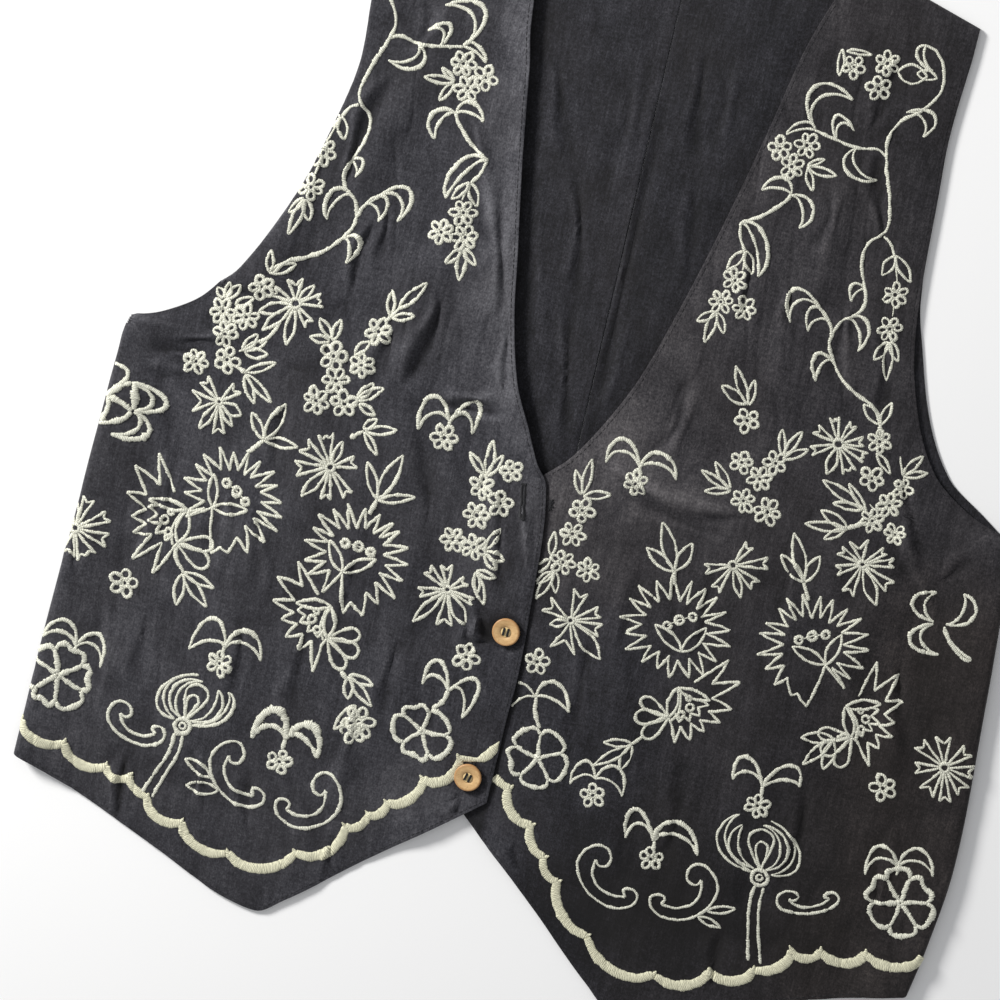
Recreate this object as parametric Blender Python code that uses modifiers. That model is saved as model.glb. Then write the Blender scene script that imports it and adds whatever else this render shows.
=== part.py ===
"""Embroidered waistcoat, laid flat on its back with the fronts up and buttoned.

Metres, +Z up, +Y towards the shoulders, +X to the right of someone who looks
down at it. It rests on z = 0. The four cloth panels are cut from one stuff:

    right_front   the wearer's right, at -X, on top where the fronts overlap
    left_front    the wearer's left, at +X, under it
    back_right, back_left   the two halves of the back, sewn up the middle

A front is drawn as it was cut, in the cut's own millimetres: `out` runs
outwards from the centre-front line and `y` up it. place() then lays it down:
it turns the cloth under at the side, rolls the edge of the right strap, leads
the straps in to the shoulders and adds the folds. The two halves of the back
fill the room that the fronts' turned edges leave.
"""

import math

import bmesh
import bpy

MM = 0.001

CLOTH = 1.2  # wall of a panel
GAP = 0.3  # between panels, and under a button
SIDE_GAP = 0.45  # at the side seams, where the turned edge is faceted
LYING = CLOTH / 2  # middle of a panel that lies on the ground
ON_BACK = CLOTH + GAP + CLOTH / 2  # middle of a panel that lies on the back

BACK_CENTRE = 15.5  # the back lies this far off the centre-front line
BACK_HEM = -184.0
BACK_NECK_DEPTH = 16.0
SHOULDER_TOP = 296.0  # y of the shoulder seam at the neck
SHOULDER_SLOPE = 0.30
NECK_AT_SHOULDER = 98.5
HEM_FADE = -110.0  # the hem's points are spread over the rows below this
SHOULDER_FADE = 225.0  # and the shoulder's slope over those above this
SHOULDER_ROLL = 1.5  # radius at the shoulder seam

SIDE_CORNER = -222.0  # y of the hem at the side seams
UNDERARM = 26.0

# The hem from the front edge to the side seam: a long point on each front.
HEM = (  # out, y
    (-12.5, -178.5),
    (0.0, -189.5),
    (50.0, -232.5),
    (86.0, -264.5),
    (101.0, -275.0),
    (118.0, -272.5),
    (162.0, -255.5),
    (229.0, -230.0),
    (266.0, -218.0),
)

# Each front's inner edge, from the hem up: the straight overlap, then the neck.
RIGHT_INNER = (  # y, out
    (-222.0, -11.2),
    (-146.0, -11.6),
    (-107.0, -12.4),
    (-65.0, -10.4),
    (-35.0, -8.9),
    (-3.0, -4.0),
    (7.0, 3.0),
    (23.0, 11.0),
    (47.0, 24.0),
    (89.0, 37.5),
    (139.0, 50.0),
    (188.0, 58.0),
    (212.0, 61.5),
    (250.0, 75.0),
    (296.0, 97.5),
)
LEFT_INNER = (  # y, out
    (-222.0, -11.5),
    (-107.0, -12.0),
    (-35.0, -10.5),
    (-6.0, -4.0),
    (15.0, 14.0),
    (41.0, 29.0),
    (65.0, 39.5),
    (111.0, 53.0),
    (156.0, 64.0),
    (200.0, 73.5),
    (243.0, 82.0),
    (296.0, 99.5),
)

# The armhole as it was cut, the same on both fronts.
ARMHOLE = (  # y, out
    (26.0, 251.0),
    (29.0, 240.0),
    (36.0, 221.0),
    (52.0, 198.5),
    (80.0, 182.5),
    (113.0, 172.5),
    (143.0, 168.5),
    (188.0, 165.5),
    (221.0, 163.5),
    (276.0, 165.0),
)

# Where each front's cloth turns under, from the hem up. `fold` is the
# outermost point of the turn, `radius` that of the turn, `under` how much lies
# flat below it, and `below` the height of that flat part's middle.
RIGHT_TURN = (  # y, fold, radius, under, below
    (-222.0, 251.0, 3.0, 13.0, 0.68),
    (-141.0, 247.0, 3.2, 13.0, 0.68),
    (-59.0, 241.5, 3.2, 13.0, 0.68),
    (10.0, 237.0, 3.0, 13.0, 0.68),
    (26.0, 235.5, 2.8, 13.0, 2.10),
    (40.0, 231.0, 2.2, 0.0, 2.10),
    (50.0, 207.0, 1.8, 0.0, 2.10),
    (68.5, 184.0, 1.5, 0.0, 2.10),
    (117.0, 165.0, 1.5, 0.0, 2.10),
    (150.0, 156.0, 1.5, 0.0, 2.10),
    (196.0, 147.5, 1.6, 0.0, 2.10),
    (230.0, 150.0, 1.5, 0.0, 2.10),
    (262.0, 164.0, 1.5, 0.0, 2.10),
    (296.0, 176.0, 1.5, 0.0, 2.10),
)
LEFT_TURN = (  # y, fold, radius, under, below
    (-222.0, 252.0, 2.2, 2.0, 0.68),
    (-195.0, 255.5, 2.2, 2.0, 0.68),
    (-150.0, 258.7, 2.2, 2.0, 0.68),
    (-60.0, 253.0, 2.2, 2.0, 0.68),
    (10.0, 247.0, 2.2, 2.0, 0.68),
    (26.0, 245.5, 2.0, 2.0, 1.40),
    (40.0, 245.0, 1.5, 0.0, 2.10),
    (296.0, 245.0, 1.5, 0.0, 2.10),
)

# How far the right strap leans in from its cut, towards the back's middle.
RIGHT_LEAN = ((20.0, 0.0), (80.0, 3.0), (120.0, 7.0), (150.0, 8.0), (215.0, 8.0), (250.0, 15.0), (296.0, 29.0))  # y, lean
LEFT_LEAN = ((20.0, 0.0), (296.0, 0.0))  # y, lean

# The back's armhole, the same on both halves, from the back's own middle.
BACK_ARMHOLE = (  # y, out
    (28.0, 226.0),
    (37.0, 212.0),
    (51.0, 191.0),
    (79.0, 173.3),
    (113.0, 161.0),
    (135.0, 154.5),
    (170.0, 150.5),
    (221.0, 148.0),
    (276.0, 149.5),
)

# The large soft folds of the fronts: each runs from (x, y) to (to_x, to_y).
FOLDS = (  # x, y, to_x, to_y, width, height
    (-100.0, 215.0, -128.0, 120.0, 9.0, 1.8),
    (-62.0, 190.0, -84.0, 60.0, 10.0, 1.5),
    (-52.0, 110.0, -42.0, 48.0, 8.0, 1.6),
    (-92.0, 92.0, -70.0, -30.0, 9.0, 1.8),
    (-138.0, 40.0, -118.0, -60.0, 12.0, 1.6),
    (-232.0, -4.0, -176.0, -14.0, 8.0, 1.3),
    (-60.0, -40.0, -44.0, -150.0, 9.0, 1.5),
    (-150.0, -80.0, -138.0, -190.0, 13.0, 1.5),
    (-214.0, -120.0, -206.0, -205.0, 12.0, 1.4),
    (38.0, 14.0, 128.0, -22.0, 8.0, 2.0),
    (120.0, 190.0, 112.0, 70.0, 11.0, 1.5),
    (88.0, 130.0, 78.0, 40.0, 10.0, 1.2),
    (196.0, 40.0, 178.0, -60.0, 10.0, 1.6),
    (60.0, -60.0, 74.0, -190.0, 13.0, 1.5),
    (150.0, -50.0, 146.0, -190.0, 14.0, 1.4),
    (214.0, -60.0, 216.0, -190.0, 13.0, 1.6),
)
NECK_STAND = 2.4  # the right strap's neck edge stands clear of the back

# A front's grid. Its last columns share the band of cloth that rolls at the
# outer edge. Its rows are close together at the underarm and at the shoulder's
# roll: each stretch ends at y and holds so many of them.
COLUMNS = 27
ROLL_COLUMNS = 13
ROLL = 26.0
STRETCHES = (  # y, rows
    (-110.0, 8),
    (10.0, 9),
    (40.0, 9),
    (60.0, 3),
    (225.0, 12),
    (293.6, 4),
    (296.0, 3),
)
BACK_COLUMNS = 6
BACK_STRETCHES = (  # y, rows
    (10.0, 12),
    (40.0, 7),
    (225.0, 11),
    (296.0, 3),
)

# The buttons, 15 mm across with four holes.
BUTTON_RADIUS = 7.5
BUTTON_THICK = 2.6
BUTTON_RIM = 1.3  # width of the raised rim
BUTTON_DISH = 0.7  # depth of the middle below the rim
HOLE_RADIUS = 0.75
HOLE_ACROSS = 1.2  # half the distance between two holes
HOLE_ALONG = 1.5
BUTTONS = (  # name, x, y, turn
    ("button_middle", 0.9, -85.0, -2.0),
    ("button_lower", -1.6, -168.1, -14.0),
)


def smooth(t):
    """0 below 0, 1 above 1, with level ends."""
    t = min(max(t, 0.0), 1.0)
    return t * t * (3.0 - 2.0 * t)


def read(rows, at, column=1):
    """The column's value at `at`, on a curve through the rows that doesn't overshoot them."""
    if at <= rows[0][0]:
        return rows[0][column]
    if at >= rows[-1][0]:
        return rows[-1][column]
    i = next(k for k in range(1, len(rows)) if at <= rows[k][0])

    def rise(k):
        return (rows[k][column] - rows[k - 1][column]) / (rows[k][0] - rows[k - 1][0])

    def slope(k):
        if k in (0, len(rows) - 1):
            return rise(max(k, 1))
        before, after = rise(k), rise(k + 1)
        return 0.0 if before * after <= 0 else 2 * before * after / (before + after)

    low, high = rows[i - 1], rows[i]
    step = high[0] - low[0]
    t = (at - low[0]) / step
    return (
        low[column] * (1 + 2 * t) * (1 - t) ** 2
        + high[column] * t * t * (3 - 2 * t)
        + step * t * (1 - t) * (slope(i - 1) * (1 - t) - slope(i) * t)
    )


def folds(x, y):
    """Height of the large folds at a place on the fronts."""
    total = 0.0
    for x0, y0, x1, y1, width, height in FOLDS:
        run_x, run_y = x1 - x0, y1 - y0
        length = math.hypot(run_x, run_y)
        along = ((x - x0) * run_x + (y - y0) * run_y) / length
        across = ((x - x0) * run_y - (y - y0) * run_x) / length
        ends = smooth((along + width) / (2 * width)) * smooth((length + width - along) / (2 * width))
        total += height * ends * math.exp(-((across / width) ** 2))
    for _, x0, y0, _ in BUTTONS:
        total *= smooth((math.hypot(x - x0, y - y0) - 10.0) / 20.0)
    return total


def shoulder(out):
    return SHOULDER_TOP - SHOULDER_SLOPE * (out - NECK_AT_SHOULDER)


class Front:
    """One front: its cut, and how it lies."""

    def __init__(self, side, inner, turn, lean, stand, lift):
        self.side = side  # -1 at -X, 1 at +X
        self.inner, self.turn, self.lean = inner, turn, lean
        self.stand, self.lift = stand, lift

    def cut_edge(self, y):
        """The outer edge: the side seam up to the underarm, then the armhole."""
        if y > UNDERARM:
            start = ARMHOLE[0][1] + (self.seam(UNDERARM) - ARMHOLE[0][1]) * smooth((38.0 - y) / 12.0)
            return read(ARMHOLE, y) + start - ARMHOLE[0][1]
        return self.seam(y)

    def seam(self, y):
        fold, radius, under = (read(self.turn, y, k) for k in (1, 2, 3))
        return fold - radius + math.pi * radius + under

    def cut(self, a, y):
        """A point of the cut: a runs from the inner edge to the outer one, on the row at y."""
        near, far = read(self.inner, y), self.cut_edge(y)
        out = near + (far - near) * a
        y += (read(HEM, out) - SIDE_CORNER) * min(max((HEM_FADE - y) / (HEM_FADE - SIDE_CORNER), 0.0), 1.0)
        top = max(y - SHOULDER_FADE, 0.0) / (SHOULDER_TOP - SHOULDER_FADE)
        return out, y + (shoulder(out) - SHOULDER_TOP) * top

    def height(self, x, y, out):
        """Height of the cloth's middle where it isn't turned: on the back or, below that, on the ground."""
        fold, radius, _, below = (read(self.turn, y, k) for k in (1, 2, 3, 4))
        reach = 38.0
        bed = LYING + (ON_BACK - LYING) * smooth((y - BACK_HEM + 34.0) / 16.0)
        turned = smooth((self.cut_edge(y) - fold + radius) / (2 * radius))
        swell = max(below + 2 * radius - bed, 0.0) * turned * smooth(1.0 - (fold - radius - out) / reach)
        lift = self.lift * smooth((40.0 - out) / 25.0)
        neck = self.stand * smooth(1.0 - (out - read(self.inner, y)) / 22.0) * smooth((y - 4.0) / 30.0)
        calm = smooth((shoulder(out) - y) / 30.0)
        edge = smooth((self.cut_edge(y) - out) / 14.0)
        return bed + lift * smooth((100.0 - y) / 60.0) + calm * (swell + neck + folds(x, y) * edge)

    def place(self, out, y):
        """Where a point of the cut lies, in millimetres."""
        lean = read(self.lean, y)
        fold, radius = read(self.turn, y, 1), read(self.turn, y, 2)
        start = fold - radius
        if out <= start:
            x = self.side * (out - lean)
            z = self.height(x, y, out)
        else:
            top = self.height(self.side * (start - lean), y, start)
            angle = min((out - start) / radius, math.pi)
            rest = out - start - radius * angle
            x = self.side * (start + radius * math.sin(angle) - rest - lean)
            z = top - radius * (1.0 - math.cos(angle))
        seam = shoulder(out) - SHOULDER_ROLL * math.pi / 2
        if y > seam:
            angle = (y - seam) / SHOULDER_ROLL
            y = seam + SHOULDER_ROLL * math.sin(angle)
            z -= SHOULDER_ROLL * (1.0 - math.cos(angle))
        return x, y, z

    def under_edge(self, y):
        """x of the edge that is turned under, beside which the back begins."""
        fold, radius, under = (read(self.turn, y, k) for k in (1, 2, 3))
        return self.side * (fold - radius - under)


RIGHT = Front(-1, RIGHT_INNER, RIGHT_TURN, RIGHT_LEAN, NECK_STAND, CLOTH + GAP)
LEFT = Front(1, LEFT_INNER, LEFT_TURN, LEFT_LEAN, 0.0, 0.0)


def row_places(start, stretches):
    """The y of each of a grid's rows, from the hem up."""
    places = [start]
    for end, rows in stretches:
        step = (end - places[-1]) / rows
        places += [places[-1] + step * (i + 1) for i in range(rows)]
    return places


def front_point(front, a, y):
    """A front's point on the row at y; a runs out from the inner edge, and slows down at the outer one."""
    band = min(ROLL / (front.cut_edge(y) - read(front.inner, y)), 0.5)
    split = 1.0 - ROLL_COLUMNS / COLUMNS
    if a <= split:
        a *= (1.0 - band) / split
    else:
        a = 1.0 - band * (1.0 - a) / (1.0 - split)
    return front.place(*front.cut(a, y))


def back_point(side, a, y):
    """A point of one half of the back on the row at y; a runs out from the middle seam."""
    front = LEFT if side > 0 else RIGHT
    if y <= UNDERARM:
        edge = front.under_edge(y) - side * SIDE_GAP
    else:
        first = front.under_edge(UNDERARM) - side * SIDE_GAP
        later = BACK_CENTRE + side * read(BACK_ARMHOLE, y)
        edge = later + (first - (BACK_CENTRE + side * BACK_ARMHOLE[0][1])) * smooth((38.0 - y) / 12.0)
    x = BACK_CENTRE + side * GAP / 2
    x += (edge - x) * a
    top = max(y - SHOULDER_FADE, 0.0) / (SHOULDER_TOP - SHOULDER_FADE)
    lean = -read(front.lean, y)
    out = side * x - lean
    neck = side * (front.side * read(front.inner, SHOULDER_TOP) - front.side * read(front.lean, SHOULDER_TOP) - BACK_CENTRE)
    reach = abs(x - BACK_CENTRE)
    if reach < neck:
        end = shoulder(read(front.inner, SHOULDER_TOP)) - BACK_NECK_DEPTH * (1.0 - (reach / neck) ** 2)
    else:
        end = shoulder(out)
    end -= SHOULDER_ROLL * (math.pi / 2 - 1.0) + CLOTH / 2 + GAP
    return x, y + (end - SHOULDER_TOP) * top, LYING


def material(name, colour, roughness):
    made = bpy.data.materials.new(name)
    made.use_nodes = True
    shader = made.node_tree.nodes["Principled BSDF"]
    shader.inputs["Base Color"].default_value = (*colour, 1.0)
    shader.inputs["Roughness"].default_value = roughness
    return made


def panel(name, columns, rows, point, stuff, collection):
    """A panel of cloth: a grid with its rows at the y in `rows`, laid out by point(a, y), then given its wall."""
    bpy.ops.mesh.primitive_grid_add(x_subdivisions=columns, y_subdivisions=len(rows) - 1, size=1.0)
    made = bpy.context.object
    made.name = made.data.name = name
    for vertex in made.data.vertices:
        row = round((vertex.co.y + 0.5) * (len(rows) - 1))
        vertex.co = [value * MM for value in point(vertex.co.x + 0.5, rows[row])]
    made.data.update()
    if sum(face.normal.z for face in made.data.polygons) < 0:
        made.data.flip_normals()
    wall = made.modifiers.new("wall", "SOLIDIFY")
    wall.thickness = CLOTH * MM
    wall.offset = 0.0
    made.data.shade_smooth()
    made.data.materials.append(stuff)
    move_to(made, collection)
    return made


def move_to(thing, collection):
    for owner in list(thing.users_collection):
        owner.objects.unlink(thing)
    collection.objects.link(thing)


def button(name, x, y, turn, stuff, collection, cutters):
    """A turned disc with a raised rim and four holes through its dish."""
    r, t = BUTTON_RADIUS * MM, BUTTON_THICK * MM
    rim, dish, soft = BUTTON_RIM * MM, BUTTON_DISH * MM, 0.5 * MM
    outline = (  # radius, height, from the middle of the dish down to the middle below
        (0.0, t - dish),
        (r - rim - 1.2 * soft, t - dish),
        (r - rim, t - 0.15 * dish),
        (r - 0.6 * rim, t),
        (r - soft, t - 0.3 * soft),
        (r, t - 1.6 * soft),
        (r - 0.2 * soft, 0.35 * t),
        (r - 2.0 * soft, 0.0),
        (0.0, 0.0),
    )
    shape = bmesh.new()
    points = [shape.verts.new((radius, 0.0, height)) for radius, height in outline]
    for low, high in zip(points, points[1:]):
        shape.edges.new((low, high))
    mesh = bpy.data.meshes.new(name)
    shape.to_mesh(mesh)
    shape.free()
    made = bpy.data.objects.new(name, mesh)
    collection.objects.link(made)
    turned = made.modifiers.new("turned", "SCREW")
    turned.steps = turned.render_steps = 32
    turned.use_merge_vertices = True
    turned.merge_threshold = 0.00001
    turned.use_smooth_shade = True
    for i, (across, along) in enumerate(((-1, -1), (1, -1), (1, 1), (-1, 1))):
        bpy.ops.mesh.primitive_cylinder_add(vertices=16, radius=HOLE_RADIUS * MM, depth=3 * t)
        drill = bpy.context.object
        drill.name = f"{name}_drill_{i}"
        drill.location = (across * HOLE_ACROSS * MM, along * HOLE_ALONG * MM, 0.0)
        drill.parent = made
        drill.hide_render = True
        drill.display_type = "WIRE"
        move_to(drill, cutters)
        hole = made.modifiers.new(f"hole_{i}", "BOOLEAN")
        hole.operation = "DIFFERENCE"
        hole.object = drill
    top = max(RIGHT.place(-x + across, y + along)[2] for across in (-7, 0, 7) for along in (-7, 0, 7))
    made.location = (x * MM, y * MM, (top + CLOTH / 2 + GAP) * MM)
    made.rotation_euler = (0.0, 0.0, math.radians(turn))
    made.data.materials.append(stuff)
    return made


def main():
    for thing in list(bpy.data.objects):
        bpy.data.objects.remove(thing)
    scene = bpy.context.scene
    garment = bpy.data.collections.new("embroidered_waistcoat")
    cutters = bpy.data.collections.new("cutters")
    for collection in (garment, cutters):
        scene.collection.children.link(collection)

    cotton = material("charcoal_cotton", (0.045, 0.043, 0.050), 0.85)
    coconut = material("coconut_shell", (0.50, 0.33, 0.16), 0.5)

    rows, back_rows = row_places(SIDE_CORNER, STRETCHES), row_places(BACK_HEM, BACK_STRETCHES)
    panel("right_front", COLUMNS, rows, lambda a, y: front_point(RIGHT, a, y), cotton, garment)
    panel("left_front", COLUMNS, rows, lambda a, y: front_point(LEFT, a, y), cotton, garment)
    panel("back_right", BACK_COLUMNS, back_rows, lambda a, y: back_point(-1, a, y), cotton, garment)
    panel("back_left", BACK_COLUMNS, back_rows, lambda a, y: back_point(1, a, y), cotton, garment)
    for name, x, y, turn in BUTTONS:
        button(name, x, y, turn, coconut, garment, cutters)

    # The frame's origin is the middle of the garment's footprint, on the ground.
    bpy.context.view_layer.update()
    graph = bpy.context.evaluated_depsgraph_get()
    corners = []
    for thing in garment.objects:
        solid = thing.evaluated_get(graph)
        corners += [solid.matrix_world @ vertex.co for vertex in solid.data.vertices]
    low = [min(corner[k] for corner in corners) for k in range(3)]
    high = [max(corner[k] for corner in corners) for k in range(3)]
    for thing in garment.objects:
        thing.location.x -= (low[0] + high[0]) / 2
        thing.location.y -= (low[1] + high[1]) / 2
        thing.location.z -= low[2]


main()
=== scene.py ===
"""The looks of the embroidered waistcoat, in metres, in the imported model's frame.

The cloth is laid as the solids are, from the same tables, with finer folds. A
front is drawn as it was cut, in the cut's millimetres: `out` runs outwards
from the centre-front line and `y` up it. Front.lay() puts cut points on the
laid cloth, so the cloth, its embroidery and its seams share one shape.
"""

import math

import bpy
import numpy as np
from mathutils import Matrix, Vector


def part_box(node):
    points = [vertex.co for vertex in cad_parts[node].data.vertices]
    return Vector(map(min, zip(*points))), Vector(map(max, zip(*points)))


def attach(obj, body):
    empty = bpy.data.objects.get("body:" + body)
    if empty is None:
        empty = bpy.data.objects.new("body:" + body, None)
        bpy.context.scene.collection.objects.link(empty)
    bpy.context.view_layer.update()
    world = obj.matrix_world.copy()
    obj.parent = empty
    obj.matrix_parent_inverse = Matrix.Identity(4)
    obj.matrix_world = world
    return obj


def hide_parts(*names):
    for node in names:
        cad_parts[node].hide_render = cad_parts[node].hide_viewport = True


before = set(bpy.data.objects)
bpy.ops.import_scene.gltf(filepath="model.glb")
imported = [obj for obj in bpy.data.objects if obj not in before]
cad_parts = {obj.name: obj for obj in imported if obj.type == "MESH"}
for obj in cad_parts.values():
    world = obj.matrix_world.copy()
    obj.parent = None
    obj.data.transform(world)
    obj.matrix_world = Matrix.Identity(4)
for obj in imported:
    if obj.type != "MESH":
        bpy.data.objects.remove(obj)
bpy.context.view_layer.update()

MM = 0.001

# ---------------------------------------------------------------- the cut

CLOTH = 1.2
GAP = 0.3
SIDE_GAP = 0.45
LYING = CLOTH / 2
ON_BACK = CLOTH + GAP + CLOTH / 2
WALL = 1.0  # the shown cloth is a little thinner than its solid

BACK_CENTRE = 15.5
BACK_HEM = -184.0
BACK_NECK_DEPTH = 16.0
SHOULDER_TOP = 296.0
SHOULDER_SLOPE = 0.30
NECK_AT_SHOULDER = 98.5
SHOULDER_FADE = 225.0  # from here up, the rows of the cloth slope more and more as the shoulder does
HEM_FADE = -110.0  # from here down, they follow the hem more and more
SHOULDER_ROLL = 1.5
SIDE_CORNER = -222.0
UNDERARM = 26.0
JOIN_TOP, JOIN_LENGTH = 38.0, 12.0  # where an armhole's edge bends to meet its side seam
BUTTON_RADIUS = 7.5

HEM = (  # out, y
    (-12.5, -178.5), (0, -189.5), (50, -232.5), (86, -264.5), (101, -275), (118, -272.5), (162, -255.5),
    (229, -230), (266, -218),
)
RIGHT_INNER = (  # y, out
    (-222, -11.2), (-146, -11.6), (-107, -12.4), (-65, -10.4), (-35, -8.9), (-3, -4), (7, 3), (23, 11),
    (47, 24), (89, 37.5), (139, 50), (188, 58), (212, 61.5), (250, 75), (296, 97.5),
)
LEFT_INNER = (  # y, out
    (-222, -11.5), (-107, -12), (-35, -10.5), (-6, -4), (15, 14), (41, 29), (65, 39.5), (111, 53),
    (156, 64), (200, 73.5), (243, 82), (296, 99.5),
)
ARMHOLE = (  # y, out
    (26, 251), (29, 240), (36, 221), (52, 198.5), (80, 182.5), (113, 172.5), (143, 168.5), (188, 165.5),
    (221, 163.5), (276, 165),
)
RIGHT_TURN = (  # y, fold, radius, under, below
    (-222, 251, 3, 13, 0.68), (-141, 247, 3.2, 13, 0.68), (-59, 241.5, 3.2, 13, 0.68),
    (10, 237, 3, 13, 0.68), (26, 235.5, 2.8, 13, 2.1), (40, 231, 2.2, 0, 2.1), (50, 207, 1.8, 0, 2.1),
    (68.5, 184, 1.5, 0, 2.1), (117, 165, 1.5, 0, 2.1), (150, 156, 1.5, 0, 2.1), (196, 147.5, 1.6, 0, 2.1),
    (230, 150, 1.5, 0, 2.1), (262, 164, 1.5, 0, 2.1), (296, 176, 1.5, 0, 2.1),
)
LEFT_TURN = (  # y, fold, radius, under, below
    (-222, 252, 2.2, 2, 0.68), (-195, 255.5, 2.2, 2, 0.68), (-150, 258.7, 2.2, 2, 0.68),
    (-60, 253, 2.2, 2, 0.68), (10, 247, 2.2, 2, 0.68), (26, 245.5, 2, 2, 1.4), (40, 245, 1.5, 0, 2.1),
    (296, 245, 1.5, 0, 2.1),
)
RIGHT_LEAN = (  # y, how far the laid cloth leans in
    (20, 0), (80, 3), (120, 7), (150, 8), (215, 8), (250, 15), (296, 29),
)
LEFT_LEAN = ((20, 0), (296, 0))
BACK_ARMHOLE = (  # y, out
    (28, 226), (37, 212), (51, 191), (79, 173.3), (113, 161), (135, 154.5), (170, 150.5), (221, 148),
    (276, 149.5),
)
BUTTONS = (  # name, x, y, turn
    ("button_middle", 0.9, -85.0, -2.0),
    ("button_lower", -1.6, -168.1, -14.0),
)

# ---------------------------------------------------------------- how it lies

FOLDS = (  # x, y, to_x, to_y, width, height
    (-100, 215, -128, 120, 9, 1.8), (-62, 190, -84, 60, 10, 1.5), (-52, 110, -42, 48, 8, 1.6),
    (-92, 92, -70, -30, 9, 1.8), (-138, 40, -118, -60, 12, 1.6), (-232, -4, -176, -14, 8, 1.3),
    (-60, -40, -44, -150, 9, 1.5), (-150, -80, -138, -190, 13, 1.5), (-214, -120, -206, -205, 12, 1.4),
    (38, 14, 128, -22, 8, 2), (120, 190, 112, 70, 11, 1.5), (88, 130, 78, 40, 10, 1.2),
    (196, 40, 178, -60, 10, 1.6), (60, -60, 74, -190, 13, 1.5), (150, -50, 146, -190, 14, 1.4),
    (214, -60, 216, -190, 13, 1.6),
)
# The creases: a soft ridge with a trough beside it, or, where the height is negative, the trough first.
CREASES = (  # x, y, to_x, to_y, bow, width, height
    (-120, 187, -134, 123, 4, 3.6, -1.3), (-115, 112, -119, 70, 2, 3, -1),
    (-111, 122, -110, 88, -2, 2.6, -0.7), (-72, 82, -82, 28, -3, 4.2, -1.5),
    (-60, 25, -24, 29.5, 1, 2.4, -0.9), (-149, 157, -156, 102, -2, 3, 0.8),
    (-219, 18, -190, 22, 1.5, 2.6, -0.9), (-221, 8, -194, 8, -1, 2.8, 0.8),
    (-212, 26, -176, 36, 2, 2.6, 0.7), (-70, 9, -53, -48, -4, 3.4, -0.8),
    (-143, -49, -136, -97, 2, 2.6, -0.7), (-192, -124, -189, -172, 3, 3.4, -0.8),
    (-215, -124, -210, -182, -3, 3.2, 0.8), (-190.5, -206, -187, -246, 0.5, 2.2, -1.3),
    (-67, -218, -66, -249, 0.5, 2.2, -1), (-18, 0, -5, -70, 2.5, 3, -1), (-8, -12, 6, -57, -1.5, 2, 0.8),
    (-24, -74, -15, -101, 1.5, 2.4, -0.9), (-142, -116, -139, -163, -2.5, 3.4, -0.8),
    (-54, -104, -53, -150, 3, 3.2, -0.9), (-78, 178, -50, 112, -3, 3.8, 0.9),
    (-56, 160, -35, 74, 2, 3.4, -0.7), (-140, 10, -141, -34, 2, 3.2, -0.8),
    (-194, -26, -190, -86, 3, 3.4, -0.9), (-73, -143, -71, -196, -2, 3.6, 0.8),
    (-18, -72, -9, -79, 0.6, 1.9, -1.1), (-17, -100, -8, -92, -0.5, 1.9, -1),
    (-5, -178.6, -4.1, -191, 0.2, 1.5, -1.4), (-100, 228, -116, 196, -2, 4, 0.8),
    (-90, 62, -98, 12, 3, 3.2, -0.8), (-104, -110, -98, -176, 4, 4, -0.8),
    (-30, -120, -27, -150, 1, 2.6, -0.6), (29, 17, 113, 9, 6, 3.6, 1.5), (38, 7, 108, -4, 5, 3, -0.7),
    (131, 208, 146, 160, 2, 3, -0.9), (104, 132, 114, 102, 2, 2.8, -0.8), (184, 49, 205, 6, 2, 3.4, -1),
    (188, 26, 222, -24, 3, 3.2, 0.9), (61, -27, 60, -81, -3, 3.8, -0.7), (153, 120, 167, 72, -2, 3.2, -0.8),
    (102, -18, 108, -85, 4, 4, -0.7), (115, 187, 116, 140, -2, 3.4, 0.7), (70, 72, 61, 22, -2, 3.6, 0.8),
    (46, -78, 50, -135, 2, 3, -0.8), (140, 4, 148, -52, 2, 3.2, 0.7), (107, -128, 111, -186, -3, 4, -0.8),
    (204, -41, 224, -98, 3, 3.6, -0.9), (83, 150, 86, 100, 2, 3, -0.8), (135, 130, 150, 78, 3, 3.2, 0.8),
    (23, -39, 28, -84, -1.5, 2.8, 0.8), (172, -120, 176, -188, -3, 4, -0.9),
    (226, -130, 230, -190, 3, 3.4, 0.8), (232, 16, 214, -4, 2, 2.8, -0.8),
    (130, 256, 124, 214, -2, 3.6, -0.8), (30, -196, 36, -212, 1, 2.2, -0.8),
    (150, -214, 152, -248, 1, 2.6, -0.9), (-16.5, -76, -9.5, -91, 0.8, 2.6, -2.2),
    (-62, 31, -30, 36, 1, 3, 1.1), (-14, -2, -8, -38, 1.5, 2.6, -0.7), (-7, -8, 2, -42, -1, 2.6, 0.5),
    (-120, -196, -112, -240, 2, 3, -0.9), (-150, -190, -146, -228, -2, 2.6, 0.8),
    (-86, -60, -84, -120, 3, 3, -0.7), (-166, -40, -160, -100, -3, 3.4, 0.8),
    (-240, -60, -236, -120, 2, 3, -0.8), (-206, -50, -204, -104, -2, 3.4, 0.7),
    (-61, 25, -27, 29.5, 1, 1.8, -1), (-33.6, 74, -27.5, 36, 0.5, 1.6, -0.8),
    (-15, -77, -5.5, -93, 1.2, 2.2, -2),
)

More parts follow.
